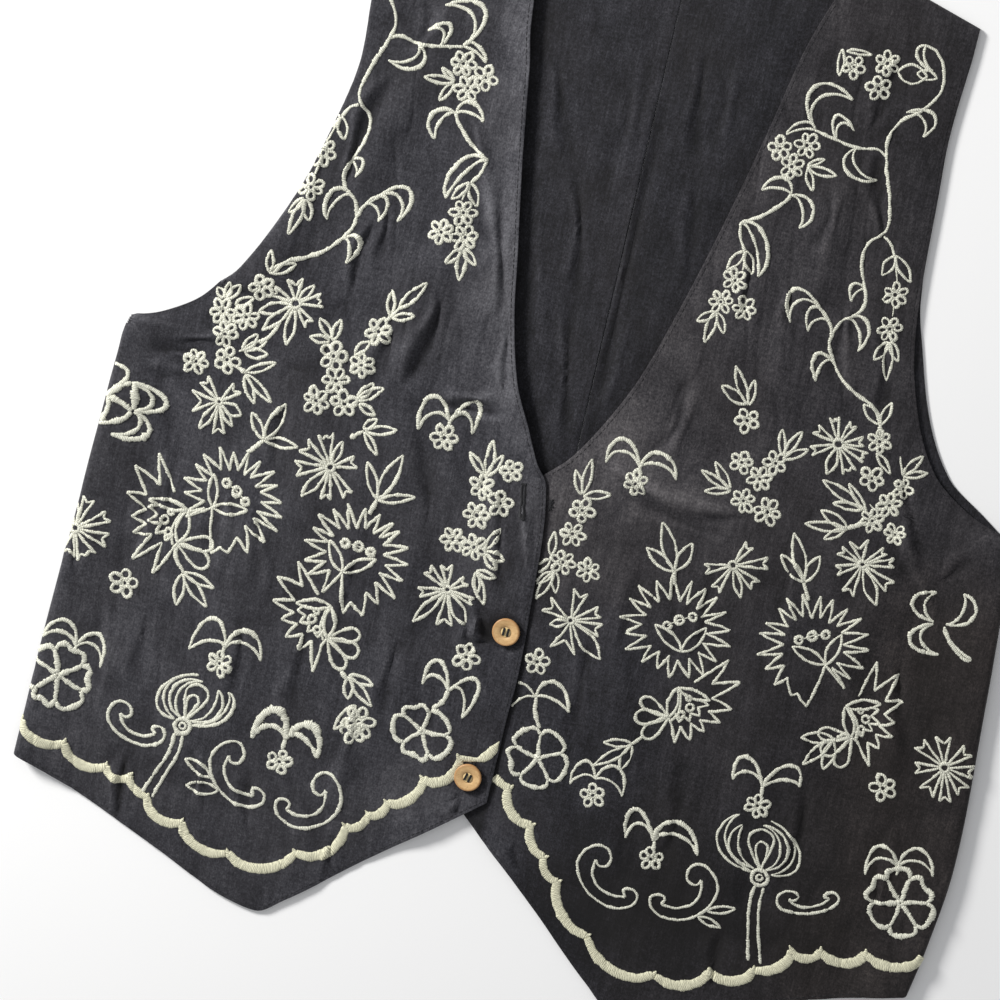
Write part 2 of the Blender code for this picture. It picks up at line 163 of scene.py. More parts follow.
DEEP = 1.6  # how much fuller the shown creases are than their rows say
SLACK = 1.1  # air under the fronts between their folds
BACK_SLACK = 0.9
SETTLING = 0.3  # how gently a trough comes to rest on what is under it
HEM_STEP, STEP_LENGTH = 34.0, 16.0  # a front steps up on to the back from this far under the back's hem
OVERLAP, OVERLAP_FALL = 40.0, 25.0  # how far out the right front stays lifted by the left, and its way down
OVERLAP_TOP, TOP_FALL = 100.0, 60.0
NECK_STAND, NECK_BAND = 2.4, 22.0  # how high the right front's neck edge stands, and over what width
NECK_FROM, NECK_RISE = 4.0, 30.0
SWELL = 38.0  # how far in from its folded side a front stands higher
CALM_SHOULDER, CALM_EDGE = 30.0, 14.0  # the folds die away this close to a shoulder and to a cut edge
PRESSED, PRESSED_BAND = 0.5, 5.0  # the share that the left front's folds lose under the right's edge
BUTTON_SEAT, SEAT_ROUND = 8.4, 6.0  # round a button's middle the cloth is flat, then its folds come back
ELSEWHERE = 90.0  # the back's wrinkles are read this far along the fronts'
CREASED_FROM = 12.0  # its creases come up over this width inside the neck opening
LOWERED = 0.05  # it lies this much lower than its solid's middle


def smooth(t):
    """0 below 0, 1 above 1, with level ends."""
    t = np.clip(t, 0.0, 1.0)
    return t * t * (3.0 - 2.0 * t)


def near(distance, reach):
    """1 at a place, falling to 0 at a reach from it, with level ends."""
    return smooth(1.0 - distance / reach)


def read(rows, at, column=1):
    """The column's value at each of `at`, on a curve through the rows that doesn't overshoot them."""
    rows = np.array(rows)
    key, value = rows[:, 0], rows[:, column]
    rise = np.diff(value) / np.diff(key)
    both = rise[:-1] * rise[1:]
    total = np.where(both > 0, rise[:-1] + rise[1:], 1.0)
    slope = np.concatenate([rise[:1], np.where(both > 0, 2 * both / total, 0.0), rise[-1:]])
    at = np.clip(at, key[0], key[-1])
    i = np.clip(np.searchsorted(key, at), 1, len(key) - 1)
    step = key[i] - key[i - 1]
    t = (at - key[i - 1]) / step
    return (
        value[i - 1] * (1 + 2 * t) * (1 - t) ** 2
        + value[i] * t * t * (3 - 2 * t)
        + step * t * (1 - t) * (slope[i - 1] * (1 - t) - slope[i] * t)
    )


def clouds(x, y, size, seed):
    """Smooth random hills from -1 to 1, about `size` millimetres across."""
    cells, middle = 64, 32.0
    table = np.random.default_rng(seed).uniform(-1.0, 1.0, (cells, cells))
    u, v = x / size + middle, y / size + middle
    i, j = np.floor(u).astype(int), np.floor(v).astype(int)
    s, t = smooth(u - i), smooth(v - j)
    corner = [table[(i + a) % cells, (j + b) % cells] for a, b in ((0, 0), (1, 0), (0, 1), (1, 1))]
    return (corner[0] * (1 - s) + corner[1] * s) * (1 - t) + (corner[2] * (1 - s) + corner[3] * s) * t


def rumple(x, y):
    """Worn cloth's small wrinkles: thin uneven troughs, mostly up and down the cut."""
    sway = 7.0 * clouds(x, y, size=60.0, seed=21)
    depth = 0.30 + 0.22 * clouds(x, y, size=45.0, seed=8)
    grain = clouds(x + sway + 0.12 * y, 0.24 * y, size=11.0, seed=5)
    fine = clouds(x - sway, 0.3 * y + 0.1 * x, size=6.0, seed=9)
    trough = np.exp(-((grain / 0.13) ** 2))
    return 0.16 * grain + 0.09 * fine - depth * trough


def beside(x, y, x0, y0, x1, y1):
    """How far places are along a straight line and to its right, and how long it is."""
    length = math.hypot(x1 - x0, y1 - y0)
    along = ((x - x0) * (x1 - x0) + (y - y0) * (y1 - y0)) / length
    across = ((x - x0) * (y1 - y0) - (y - y0) * (x1 - x0)) / length
    return along, across, length


def creases(x, y, rows):
    """Height of the creases of those rows."""
    total = np.zeros_like(x)
    for x0, y0, x1, y1, bow, width, height in rows:
        along, across, length = beside(x, y, x0, y0, x1, y1)
        t = np.clip(along / length, 0.0, 1.0)
        across = across - 4.0 * bow * t * (1.0 - t)
        spread = width * (0.8 + 0.4 * np.sin(7.0 * t + x0))
        fade = max(0.3 * length, width)
        ends = smooth((along + 0.5 * width) / fade) * smooth((length + 0.5 * width - along) / fade)
        first = np.exp(-((across / spread) ** 2))
        second = np.exp(-(((across - 1.8 * spread) / spread) ** 2))
        total += height * ends * (first - 0.6 * second)
    return total


def settled(height):
    """Hills stay, and troughs come softly to rest at 0."""
    return SETTLING * np.logaddexp(0.0, height / SETTLING)


def folds(x, y):
    """Height of the fronts' folds and creases over the cloth's bed."""
    total = np.zeros_like(x)
    for *line, width, height in FOLDS:
        along, across, length = beside(x, y, *line)
        ends = smooth((along + width) / (2 * width)) * smooth((length + width - along) / (2 * width))
        total += height * ends * np.exp(-((across / width) ** 2))
    total += DEEP * creases(x, y, CREASES)
    total += 0.30 * clouds(x, y, size=24.0, seed=3) + 1.5 * rumple(x, y)
    total = settled(total + SLACK)
    for _, x0, y0, _ in BUTTONS:
        total *= smooth((np.hypot(x - x0, y - y0) - BUTTON_SEAT) / SEAT_ROUND)
    return total


# Soft patches of painted light, or, where the amount is negative, of painted shade and shadow, laid on the
# cloth where light and shadow fall.
LIGHT_AND_SHADE_PATCHES = (  # x, y, reach across, reach up, amount
    (-50, 130, 22, 110, 0.12), (-30, 60, 18, 60, 0.16), (-2, -60, 12, 50, 0.04), (-150, -10, 60, 60, 0.08),
    (-205, -130, 60, 60, 0.12), (38, 14, 32, 20, 0.27), (72, 6, 40, 22, 0.12), (150, -190, 120, 70, -0.28),
    (110, -60, 130, 60, -0.08), (200, -110, 90, 90, -0.12), (60, -230, 70, 50, -0.36),
    (150, 230, 80, 60, -0.22), (205, 60, 60, 70, -0.08), (-60, -225, 60, 40, 0.06),
    (-160, 60, 60, 40, 0.06), (-163, 54, 36, 34, -0.22), (-186, 28, 30, 22, -0.12),
    (-19, -186, 28, 28, 0.32), (-76, -206, 38, 18, 0.08), (-26, -46, 13, 30, 0.2), (9, -20, 19, 26, 0.34),
    (42, -38, 22, 18, 0.12), (138, -216, 46, 26, -0.22), (225, -63, 20, 46, -0.18),
    (-222, -196, 28, 44, 0.17), (23, -203, 26, 26, 0.3), (40, 39, 20, 14, 0.16), (66, -120, 24, 26, -0.18),
    (-8.5, -86, 5.5, 8.5, -0.45), (-189.4, -226, 1.9, 20, -0.5), (-6.8, -48, 3, 24, -0.2),
)
SHEEN_WEAR_BAND, SHEEN_WEAR_FROM, SHEEN_WEAR_RISE = 26.0, -8.0, 30.0  # the neck edges are painted paler: a painted highlight of their sheen, with some wear from hands
EDGE_SHADOW = ((0.42, 2.6), (0.10, 8.0))  # painted shadow beside the right front's edge: how dark, and how wide
EDGE_SHADOW_TOP, EDGE_SHADOW_RISE = 2.0, 8.0
BUTTON_SHADOW_TONE, BUTTON_SHADOW_FROM, BUTTON_SHADOW_WIDTH = 0.30, 7.6, 3.2  # the painted shadow round a button, a dark ring: how dark, where it starts, how wide
# painted shade in the troughs of the creases, and painted light on their ridges
CREASE_SHADE = 0.20
FRESH_TOP, FRESH_OUT = -40.0, 60.0  # below and inside these the left front is not browned
BROWN_TOP, BROWN_OUT, BROWN_BLEND = 30.0, 150.0, 60.0  # below and outside these it is brownest
BROWN_SHARE = 0.38  # how brown it is elsewhere


def patches(x, y):
    """How much paler or darker the soft patches of painted light and shade make the cloth."""
    total = np.zeros_like(x)
    for at_x, at_y, across, up, amount in LIGHT_AND_SHADE_PATCHES:
        total += amount * np.exp(-(((x - at_x) / across) ** 2) - ((y - at_y) / up) ** 2)
    return total


def shoulder(out):
    """How high up the cut the shoulder's edge is."""
    return SHOULDER_TOP - SHOULDER_SLOPE * (out - NECK_AT_SHOULDER)


def towards_shoulder(y):
    """0 where the rows of the cloth are level, 1 at the shoulder's top."""
    return np.clip(y - SHOULDER_FADE, 0.0, None) / (SHOULDER_TOP - SHOULDER_FADE)


class Front:
    """One front: its cut, and how it lies.

    `side` is -1 for the wearer's right, which is the viewer's left, and 1 for the
    other. `stand` is how high its neck edge stands, `lift` how high the other front
    holds it, and the last number how pale its edge is painted: a painted highlight
    of its sheen, with some wear from hands.
    """

    def __init__(self, name, side, inner, turn, lean, stand, lift, edge_sheen_and_wear):
        self.name, self.side = name, side
        self.inner, self.turn, self.lean = inner, turn, lean
        self.stand, self.lift, self.edge_sheen_and_wear = stand, lift, edge_sheen_and_wear

    def seam(self, y):
        """How far out the side seam is on the cut."""
        fold, radius, under = (read(self.turn, y, k) for k in (1, 2, 3))
        return fold - radius + math.pi * radius + under

    def under_edge(self, y):
        """Where the edge that is turned under comes to lie."""
        fold, radius, under = (read(self.turn, y, k) for k in (1, 2, 3))
        return self.side * (fold - radius - under)

    def cut_edge(self, y):
        """The cut's outer edge: the side seam, then the armhole."""
        start = (self.seam(UNDERARM) - ARMHOLE[0][1]) * smooth((JOIN_TOP - y) / JOIN_LENGTH)
        return np.where(y > UNDERARM, read(ARMHOLE, y) + start, self.seam(y))

    def cut(self, a, y):
        """The cut's points at the share `a` of the way from the inner edge to the outer one."""
        inner, outer = read(self.inner, y), self.cut_edge(y)
        out = inner + (outer - inner) * a
        towards_hem = np.clip((HEM_FADE - y) / (HEM_FADE - SIDE_CORNER), 0.0, 1.0)
        y = y + (read(HEM, out) - SIDE_CORNER) * towards_hem
        return out, y + (shoulder(out) - SHOULDER_TOP) * towards_shoulder(y)

    def height(self, x, y, out):
        """How high the cloth's middle lies, where it isn't turned under."""
        fold, radius, _, below = (read(self.turn, y, k) for k in (1, 2, 3, 4))
        bed = LYING + (ON_BACK - LYING) * smooth((y - BACK_HEM + HEM_STEP) / STEP_LENGTH)
        under = smooth((self.cut_edge(y) - fold + radius) / (2 * radius))
        swell = np.clip(below + 2 * radius - bed, 0.0, None) * under * near(fold - radius - out, SWELL)
        lift = self.lift * smooth((OVERLAP - out) / OVERLAP_FALL)
        neck = self.stand * near(out - read(self.inner, y), NECK_BAND) * smooth((y - NECK_FROM) / NECK_RISE)
        calm = smooth((shoulder(out) - y) / CALM_SHOULDER)
        edge = smooth((self.cut_edge(y) - out) / CALM_EDGE)
        if self.side > 0:
            edge = edge * (1.0 - PRESSED * smooth((1.0 - read(RIGHT_INNER, y) - x) / PRESSED_BAND))
        lift = lift * smooth((OVERLAP_TOP - y) / TOP_FALL)
        return bed + lift + calm * (swell + neck + folds(x, y) * edge)

    def place(self, out, y):
        """The middle of the cloth at the cut's points, in the design's millimetres."""
        out, y = np.broadcast_arrays(np.asarray(out, float), np.asarray(y, float))
        lean = read(self.lean, y)
        fold, radius = read(self.turn, y, 1), read(self.turn, y, 2)
        start = fold - radius
        level = np.minimum(out, start)
        z = self.height(self.side * (level - lean), y, level)
        past = np.clip(out - start, 0.0, None)
        angle = np.minimum(past / radius, math.pi)
        x = self.side * (level + radius * np.sin(angle) - (past - radius * angle) - lean)
        z = z - radius * (1.0 - np.cos(angle))
        seam = shoulder(out) - SHOULDER_ROLL * math.pi / 2
        angle = np.clip((y - seam) / SHOULDER_ROLL, 0.0, None)
        y = np.minimum(y, seam) + SHOULDER_ROLL * np.sin(angle)
        return np.stack([x, y, z - SHOULDER_ROLL * (1.0 - np.cos(angle))], -1)

    def lay(self, out, y, rise):
        """The cut's points on the laid cloth, `rise` over its middle, in metres in the frame."""
        step = 0.4
        outwards = self.place(out + step, y) - self.place(out - step, y)
        upwards = self.place(out, y + step) - self.place(out, y - step)
        normal = np.cross(outwards, upwards) * self.side
        normal /= np.linalg.norm(normal, axis=-1, keepdims=True)
        return (self.place(out, y) + normal * np.asarray(rise)[..., None]) * MM + origin

    def shade_and_wear(self, out, y):
        """How pale the cloth is painted: painted sheen with some wear along the neck and front edges, and
        painted light and shade in patches, in the creases, beside the right front's edge and round the
        buttons.
        """
        x = self.side * (out - read(self.lean, y))
        crease = creases(x, y, CREASES) + 1.2 * rumple(x, y)
        # painted highlight: the neck and front edges paler for their sheen, and a little for wear from
        # hands
        edge_sheen_and_wear = self.edge_sheen_and_wear * near(out - read(self.inner, y), SHEEN_WEAR_BAND)
        edge_sheen_and_wear = edge_sheen_and_wear * smooth((y - SHEEN_WEAR_FROM) / SHEEN_WEAR_RISE)
        # painted shadow: a dark band on the left front beside the right front's edge
        edge_shadow = 0.0
        if self.side > 0:
            past_edge = x + read(RIGHT_INNER, y)
            edge_shadow = sum(dark * near(past_edge, wide) for dark, wide in EDGE_SHADOW)
            edge_shadow = edge_shadow * smooth((EDGE_SHADOW_TOP - y) / EDGE_SHADOW_RISE)
        # painted light and shade: the patches, the edges' sheen, the edge shadow and the creases' shade
        shade = 0.5 + patches(x, y) + edge_sheen_and_wear - edge_shadow + CREASE_SHADE * np.clip(crease, -2.0, 1.2)
        # painted shadow: a dark ring round each button
        if self.side < 0:
            for _, x0, y0, _ in BUTTONS:
                shade = shade - BUTTON_SHADOW_TONE * near(np.hypot(x - x0, y - y0) - BUTTON_SHADOW_FROM, BUTTON_SHADOW_WIDTH)
        return shade

    def browned(self, out, y):
        """How brown the left front is made: least by the right front, most at the side."""
        if self.side < 0:
            return 0.0 * y
        fresh = smooth((FRESH_TOP - y) / 50.0) * (1.0 - smooth((out - FRESH_OUT) / BROWN_BLEND))
        at_side = smooth((out - BROWN_OUT) / BROWN_BLEND) * smooth((BROWN_TOP - y) / BROWN_BLEND)
        return BROWN_SHARE * (1.0 - fresh) + (1.0 - BROWN_SHARE) * at_side


# The design's origin, in the frame: the middle button says where it is.
low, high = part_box("button_middle")
_, button_x, button_y, _ = BUTTONS[0]
origin = np.array([(low.x + high.x) / 2 - button_x * MM, (low.y + high.y) / 2 - button_y * MM, 0.0])

RIGHT = Front(
    "right_front", -1, RIGHT_INNER, RIGHT_TURN, RIGHT_LEAN,
    stand=NECK_STAND, lift=CLOTH + GAP, edge_sheen_and_wear=0.28,
)
LEFT = Front("left_front", 1, LEFT_INNER, LEFT_TURN, LEFT_LEAN, stand=0.0, lift=0.0, edge_sheen_and_wear=0.12)

# ---------------------------------------------------------------- finishes

WIDE_FROM = 2000.0  # where the border's thread starts in its map, which tells it from the narrow thread


class Wire:
    """A socket in a sum: each operator adds its Math node."""

    def __init__(self, finish, socket):
        self.finish, self.socket = finish, socket

    def maths(self, operation, *values):
        return self.finish.node("Math", {"operation": operation}, dict(enumerate(values)))

    def __add__(self, other):
        return self.maths("ADD", self, other)

    def __sub__(self, other):
        return self.maths("SUBTRACT", self, other)

    def __rsub__(self, other):
        return self.maths("SUBTRACT", other, self)

    def __mul__(self, other):
        return self.maths("MULTIPLY", self, other)

    __radd__ = __add__
    __rmul__ = __mul__

    def wave(self, length):
        """A sine of that length, from -1 to 1."""
        return self.maths("SINE", self * (2 * math.pi / length))


class Finish:
    """A material, with the plain numbers of its shader set on the shader's own sockets."""

    def __init__(self, name, **plain):
        self.material = bpy.data.materials.new(name)
        self.material.use_nodes = True
        self.tree = self.material.node_tree
        self.shader = self.tree.nodes["Principled BSDF"]
        for socket, value in plain.items():
            self.shader.inputs[socket.replace("_", " ")].default_value = value

    def node(self, kind, settings, sockets, output=0):
        made = self.tree.nodes.new("ShaderNode" + kind)
        for name, value in settings.items():
            if name == "stops":
                ramp = made.color_ramp
                while len(ramp.elements) < len(value):
                    ramp.elements.new(1.0)
                for element, (place, colour) in zip(ramp.elements, value):
                    element.position, element.color = place, colour
            else:
                setattr(made, name, value)
        for socket, value in sockets.items():
            if isinstance(value, Wire):
                self.tree.links.new(value.socket, made.inputs[socket])
            else:
                made.inputs[socket].default_value = value
        return Wire(self, made.outputs[output])

    def feed(self, **sockets):
        for socket, value in sockets.items():
            self.tree.links.new(value.socket, self.shader.inputs[socket.replace("_", " ")])

    def map(self, name):
        """A UV map. Its two values are millimetres or tones."""
        return self.node("UVMap", {"uv_map": name}, {})

    def split(self, vector):
        """The first two parts of a vector."""
        first = self.node("SeparateXYZ", {}, {0: vector})
        return first, Wire(self, first.socket.node.outputs[1])

    def mix(self, mask, first, second, blend="MIX"):
        settings = {"data_type": "RGBA", "blend_type": blend}
        return self.node("Mix", settings, {0: mask, 6: first, 7: second}, 2)

    def noise(self, place, scale, detail=3.0, roughness=0.55):
        sockets = {"Vector": place, "Scale": scale, "Detail": detail, "Roughness": roughness}
        return self.node("TexNoise", {}, sockets)

    def stretched(self, place, scale):
        return self.node("Mapping", {}, {"Vector": place, "Scale": scale})

    def steps(self, value, *stops):
        """Grey tones at places on the value's way from 0 to 1."""
        return self.ramp(value, [(at, (tone, tone, tone, 1.0)) for at, tone in stops])

    def ramp(self, value, stops):
        return self.node("ValToRGB", {"stops": stops}, {"Fac": value})

    def bump(self, strength, distance, height):
        return self.node("Bump", {}, {"Strength": strength, "Distance": distance, "Height": height})


DYE = (  # place on the ramp, and the colour there
    (0.0, (0.0040, 0.0040, 0.0052, 1.0)), (0.2, (0.0095, 0.0093, 0.0118, 1.0)),
    (0.4, (0.0230, 0.0226, 0.0285, 1.0)), (0.6, (0.0460, 0.0455, 0.0540, 1.0)),
    (0.8, (0.0860, 0.0850, 0.0960, 1.0)), (1.0, (0.1400, 0.1385, 0.1540, 1.0)),
)
WARM_DYE = (0.0235, 0.0205, 0.0205, 1.0)
BROWN_TINT = (1.03, 0.88, 0.72, 1.0)
BORDER_TINT = (1.01, 0.985, 0.86, 1.0)
WEFT, WARP = 0.47, 0.45  # millimetres from thread to thread
NOISE_MIDDLE = 1.655  # what the cotton's noises add up to at their middle


def cotton_finish():
    """Charcoal cotton: a plain weave with slubs, a faint nap and a washed, uneven dye."""
    cotton = Finish(
        "charcoal_cotton", Roughness=0.72, Specular_IOR_Level=0.22, Sheen_Weight=0.06, Sheen_Roughness=0.5,
    )
    cut = cotton.map("cut")  # millimetres of the cut
    across, up = cotton.split(cut)
    # the second map holds the painted light and shade, with some wear, and how brown the left front is
    shade_and_wear, browned = cotton.split(cotton.map("wear"))
    weft_slubs = cotton.noise(cotton.stretched(cut, (0.14, 1.1, 1.0)), 1.0, 2.0)
    warp_slubs = cotton.noise(cotton.stretched(cut, (0.8, 0.09, 1.0)), 1.0, 2.0)
    wash = cotton.noise(cut, 0.055, 3.0)
    streaks = cotton.noise(cotton.stretched(cut, (0.22, 0.035, 1.0)), 1.0, 3.0)
    nap = cotton.noise(cut, 0.42, 4.0, 0.75)
    fibres = cotton.noise(cotton.stretched(cut, (1.25, 0.8, 1.0)), 1.0, 2.0, 0.6)
    yarn = shade_and_wear + weft_slubs * 0.26 + warp_slubs * 0.46 + nap * 0.95 + fibres * 0.95
    colour = cotton.ramp((yarn + wash * 0.54 + streaks * 0.40 - NOISE_MIDDLE) * 0.8, DYE)
    warm = cotton.steps(cotton.noise(cut, 0.012, 2.0), (0.42, 0.0), (0.62, 1.0))
    colour = cotton.mix(warm * 0.22, colour, WARM_DYE)
    colour = cotton.mix(browned, colour, BROWN_TINT, "MULTIPLY")
    weave = across.wave(WEFT) * up.wave(WARP)
    relief = weave * 0.22 + weft_slubs * 0.6 + warp_slubs * 0.8 + nap * 1.1
    cotton.feed(Base_Color=colour, Normal=cotton.bump(0.6, 0.0004, relief))
    return cotton.material


def satin_finish(name, dark, light, pitch, gloss):
    """Satin-stitched thread: fine threads side by side across the ribbon."""
    satin = Finish(name, Roughness=gloss, Specular_IOR_Level=0.35, Sheen_Weight=0.15, Sheen_Roughness=0.4)
    stitch = satin.map("stitch")  # millimetres along and across
    along, across = satin.split(stitch)
    drift = satin.noise(stitch, 0.55, 2.0)
    threads = (along + across * 0.25 + drift * 1.6).wave(pitch)
    uneven = satin.noise(satin.stretched(stitch, (2.6, 0.35, 1.0)), 1.0)
    grime = satin.noise(stitch, 0.06, 2.0)
    gaps = satin.noise(satin.stretched(stitch, (1.6, 0.16, 1.0)), 1.0, 2.0)
    # painted shade: the threads darker between their crests, following their bump
    lit = threads * 0.24 + uneven * 0.45 + gaps * 0.9 + grime * 0.35
    tone = satin.steps(lit, (0.60, 0.0), (0.92, 0.75), (1.15, 1.0))
    wide = along.maths("GREATER_THAN", along, 0.5 * WIDE_FROM)
    colour = satin.mix(wide, satin.mix(tone, dark, light), BORDER_TINT, "MULTIPLY")
    relief = threads * 0.6 + uneven * 0.7 + gaps * 0.9
    satin.feed(Base_Color=colour, Normal=satin.bump(0.7, 0.00015, relief))
    return satin.material


def coconut_finish():
    """Turned coconut shell: warm tan with flecks and a dark ring of painted shade in its groove, pale in
    its middle, dark at its rim.
    """
    shell = Finish("coconut_shell", Roughness=0.45, Coat_Weight=0.08, Coat_Roughness=0.3)
    place = shell.node("TexCoord", {}, {}, 3)
    radius, _ = shell.split(shell.map("face"))  # millimetres from its middle
    grain = shell.noise(shell.stretched(place, (260.0, 900.0, 500.0)), 1.0, 4.0)
    blotch = shell.noise(place, 180.0, 2.0)
    flecks = shell.steps(shell.noise(place, 1500.0, 1.0), (0.60, 0.0), (0.72, 1.0))
    light = shell.steps(grain * 0.6 + blotch * 0.4, (0.35, 0.0), (0.65, 1.0))
    reach = radius * 0.125 + blotch * 0.08
    middle = shell.steps(reach, (0.32, 1.0), (0.42, 0.0))
    # painted shade: a dark ring in the recessed groove
    groove_shade = shell.steps(reach, (0.37, 0.0), (0.385, 1.0), (0.40, 1.0), (0.42, 0.0))
    rim = shell.steps(reach, (0.80, 0.0), (0.92, 1.0))
    colour = shell.mix(light, (0.54, 0.325, 0.135, 1.0), (0.72, 0.475, 0.225, 1.0))
    for mask, tone in (
        (middle * 0.75, (0.76, 0.60, 0.28, 1.0)),
        (groove_shade * 0.8, (0.20, 0.095, 0.04, 1.0)),
        (rim * 0.65, (0.40, 0.18, 0.06, 1.0)),
        (flecks * 0.4, (0.20, 0.10, 0.04, 1.0)),
    ):
        colour = shell.mix(mask, colour, tone)
    shell.feed(Base_Color=colour, Normal=shell.bump(0.25, 0.0001, grain))
    return shell.material


COTTON = cotton_finish()
CREAM = satin_finish(
    "cream_satin_thread", dark=(0.37, 0.365, 0.30, 1.0), light=(0.88, 0.88, 0.745, 1.0),
    pitch=0.9, gloss=0.6,
)
BLACK = satin_finish(
    "black_sewing_thread", dark=(0.0040, 0.0040, 0.0050, 1.0), light=(0.0150, 0.0150, 0.0190, 1.0),
    pitch=0.35, gloss=0.75,
)
COCONUT = coconut_finish()

# ---------------------------------------------------------------- the cloth


def alone(thing=None):
    """Nothing else is selected before an operator runs."""
    bpy.ops.object.select_all(action="DESELECT")
    if thing:
        bpy.context.view_layer.objects.active = thing
        thing.select_set(True)


def finished(thing, finish, slot, *replaced):
    """A piece gets its material, the solids it stands for and its body; `slot` is not used."""
    thing.data.materials.clear()
    thing.data.materials.append(finish)
    if replaced:
        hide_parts(*replaced)
    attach(thing, "root")
    return thing


def add_map(mesh, name, values):
    """A UV map that holds, at every corner, its vertex's two values."""
    corners = np.empty(len(mesh.loops), int)
    mesh.loops.foreach_get("vertex_index", corners)
    mesh.uv_layers.new(name=name).data.foreach_set("uv", np.asarray(values, np.float32)[corners].ravel())


def cut_area(across, up, rows, columns):
    """The area of a grid of the cut's points, in square metres."""
    corner = np.stack([across, up], -1).reshape(rows, columns + 1, 2)
    run, rise = np.diff(corner, axis=1)[:-1], np.diff(corner, axis=0)[:, :-1]
    return abs(run[..., 0] * rise[..., 1] - run[..., 1] * rise[..., 0]).sum() * MM * MM


def panel(name, columns, rows, cut, lay, shade_and_wear, browned=lambda across, up: 0.0 * up):
    """A panel of cloth. The grid's points go to the cut, the cut is laid, and the cloth gets its wall."""
    alone()
    bpy.ops.mesh.primitive_grid_add(
        x_subdivisions=columns, y_subdivisions=len(rows) - 1, size=1.0, calc_uvs=False,
    )
    cloth = bpy.context.object
    cloth.name = cloth.data.name = name
    place = np.empty(len(cloth.data.vertices) * 3, np.float32)
    cloth.data.vertices.foreach_get("co", place)
    place = place.reshape(-1, 3).astype(float)
    y = np.array(rows)[np.round((place[:, 1] + 0.5) * (len(rows) - 1)).astype(int)]
    across, up = cut(place[:, 0] + 0.5, y)
    cloth.data.vertices.foreach_set("co", lay(across, up).astype(np.float32).ravel())
    add_map(cloth.data, "cut", np.stack([across, up], -1))
    # the cloth's painted light and shade, with some wear, go to their own map
    add_map(cloth.data, "wear", np.stack([shade_and_wear(across, up), browned(across, up)], -1))
    cloth.data.update()
    if sum(face.normal.z * face.area for face in cloth.data.polygons) < 0:
        cloth.data.flip_normals()
    wall = cloth.modifiers.new("wall", "SOLIDIFY")
    wall.thickness, wall.offset = WALL * MM, 0.0
    soften(cloth, 0.3 * MM, 55)
    for modifier in ("wall", "soft_edge"):
        bpy.ops.object.modifier_apply(modifier=modifier)
    bpy.ops.object.shade_smooth()
    finished(cloth, COTTON, "cloth", name[: -len("_cloth")])
    return cloth, cut_area(across, up, len(rows), columns)


def soften(thing, width, degrees):
    """A rounded bevel along edges that are sharper than an angle."""
    soft = thing.modifiers.new("soft_edge", "BEVEL")
    soft.width, soft.segments = width, 2
    soft.limit_method, soft.angle_limit = "ANGLE", math.radians(degrees)


def spaced(*stretches):
    """Places from the first number on; each stretch ends at a place and holds so many steps."""
    places = [stretches[0]]
    for end, steps in stretches[1:]:
        places += list(np.linspace(places[-1], end, steps + 1)[1:])
    return places


FRONT_COLUMNS = 146
ROLL_COLUMNS, ROLL = 28, 26.0  # the closer columns beside a front's side, and how wide they are in all
FRONT_ROWS = spaced(SIDE_CORNER, (20.0, 136), (42.0, 20), (292.5, 138), (296.0, 7))
BACK_COLUMNS = 96
BACK_ROWS = spaced(BACK_HEM, (20.0, 60), (42.0, 16), (290.0, 110), (296.0, 4))


def front_cut(front, a, y):
    """The front's cut with the columns of its rolled side drawn together."""
    band = np.minimum(ROLL / (front.cut_edge(y) - read(front.inner, y)), 0.5)
    split = 1.0 - ROLL_COLUMNS / FRONT_COLUMNS
    a = np.where(a <= split, a * (1.0 - band) / split, 1.0 - band * (1.0 - a) / (1.0 - split))
    return front.cut(a, y)


def front_panel(front):
    """A front's cloth, and the area of its cut."""
    return panel(
        front.name + "_cloth", FRONT_COLUMNS, FRONT_ROWS,
        lambda a, y: front_cut(front, a, y),
        lambda out, y: front.lay(out, y, np.zeros_like(y)), front.shade_and_wear, front.browned,
    )


BACK_CREASES = (  # x, y, to_x, to_y, bow, width, height
    (-41, 218, -18, 160, 2, 3, -1.5), (-17, 160, -3, 96, -2, 2.8, -1.6), (-5, 100, 11, 16, 2, 2.6, -1.7),
    (34, 236, 42, 176, 1.5, 3, -1.2), (43, 172, 52, 108, -1.5, 2.8, -1),
    (19.5, 228, 20.5, 20, 0.5, 3, -1.1), (52, 232, 55, 186, 1, 3.4, 0.9), (2, 224, 8, 150, -1, 4, 0.9),
    (-28, 120, -10, 60, 1.5, 3.4, 0.9), (26, 96, 24, 40, -1, 3, 0.9),
)


def past_right_edge(x, y):
    """How far a place is inside the neck opening, from the right front's edge."""
    return x + read(RIGHT_INNER, y) - read(RIGHT_LEAN, y)


def neck_opening(x, y):
    """How far a place is inside the neck opening, from the nearer front's edge."""
    return np.minimum(past_right_edge(x, y), read(LEFT_INNER, y) - x)


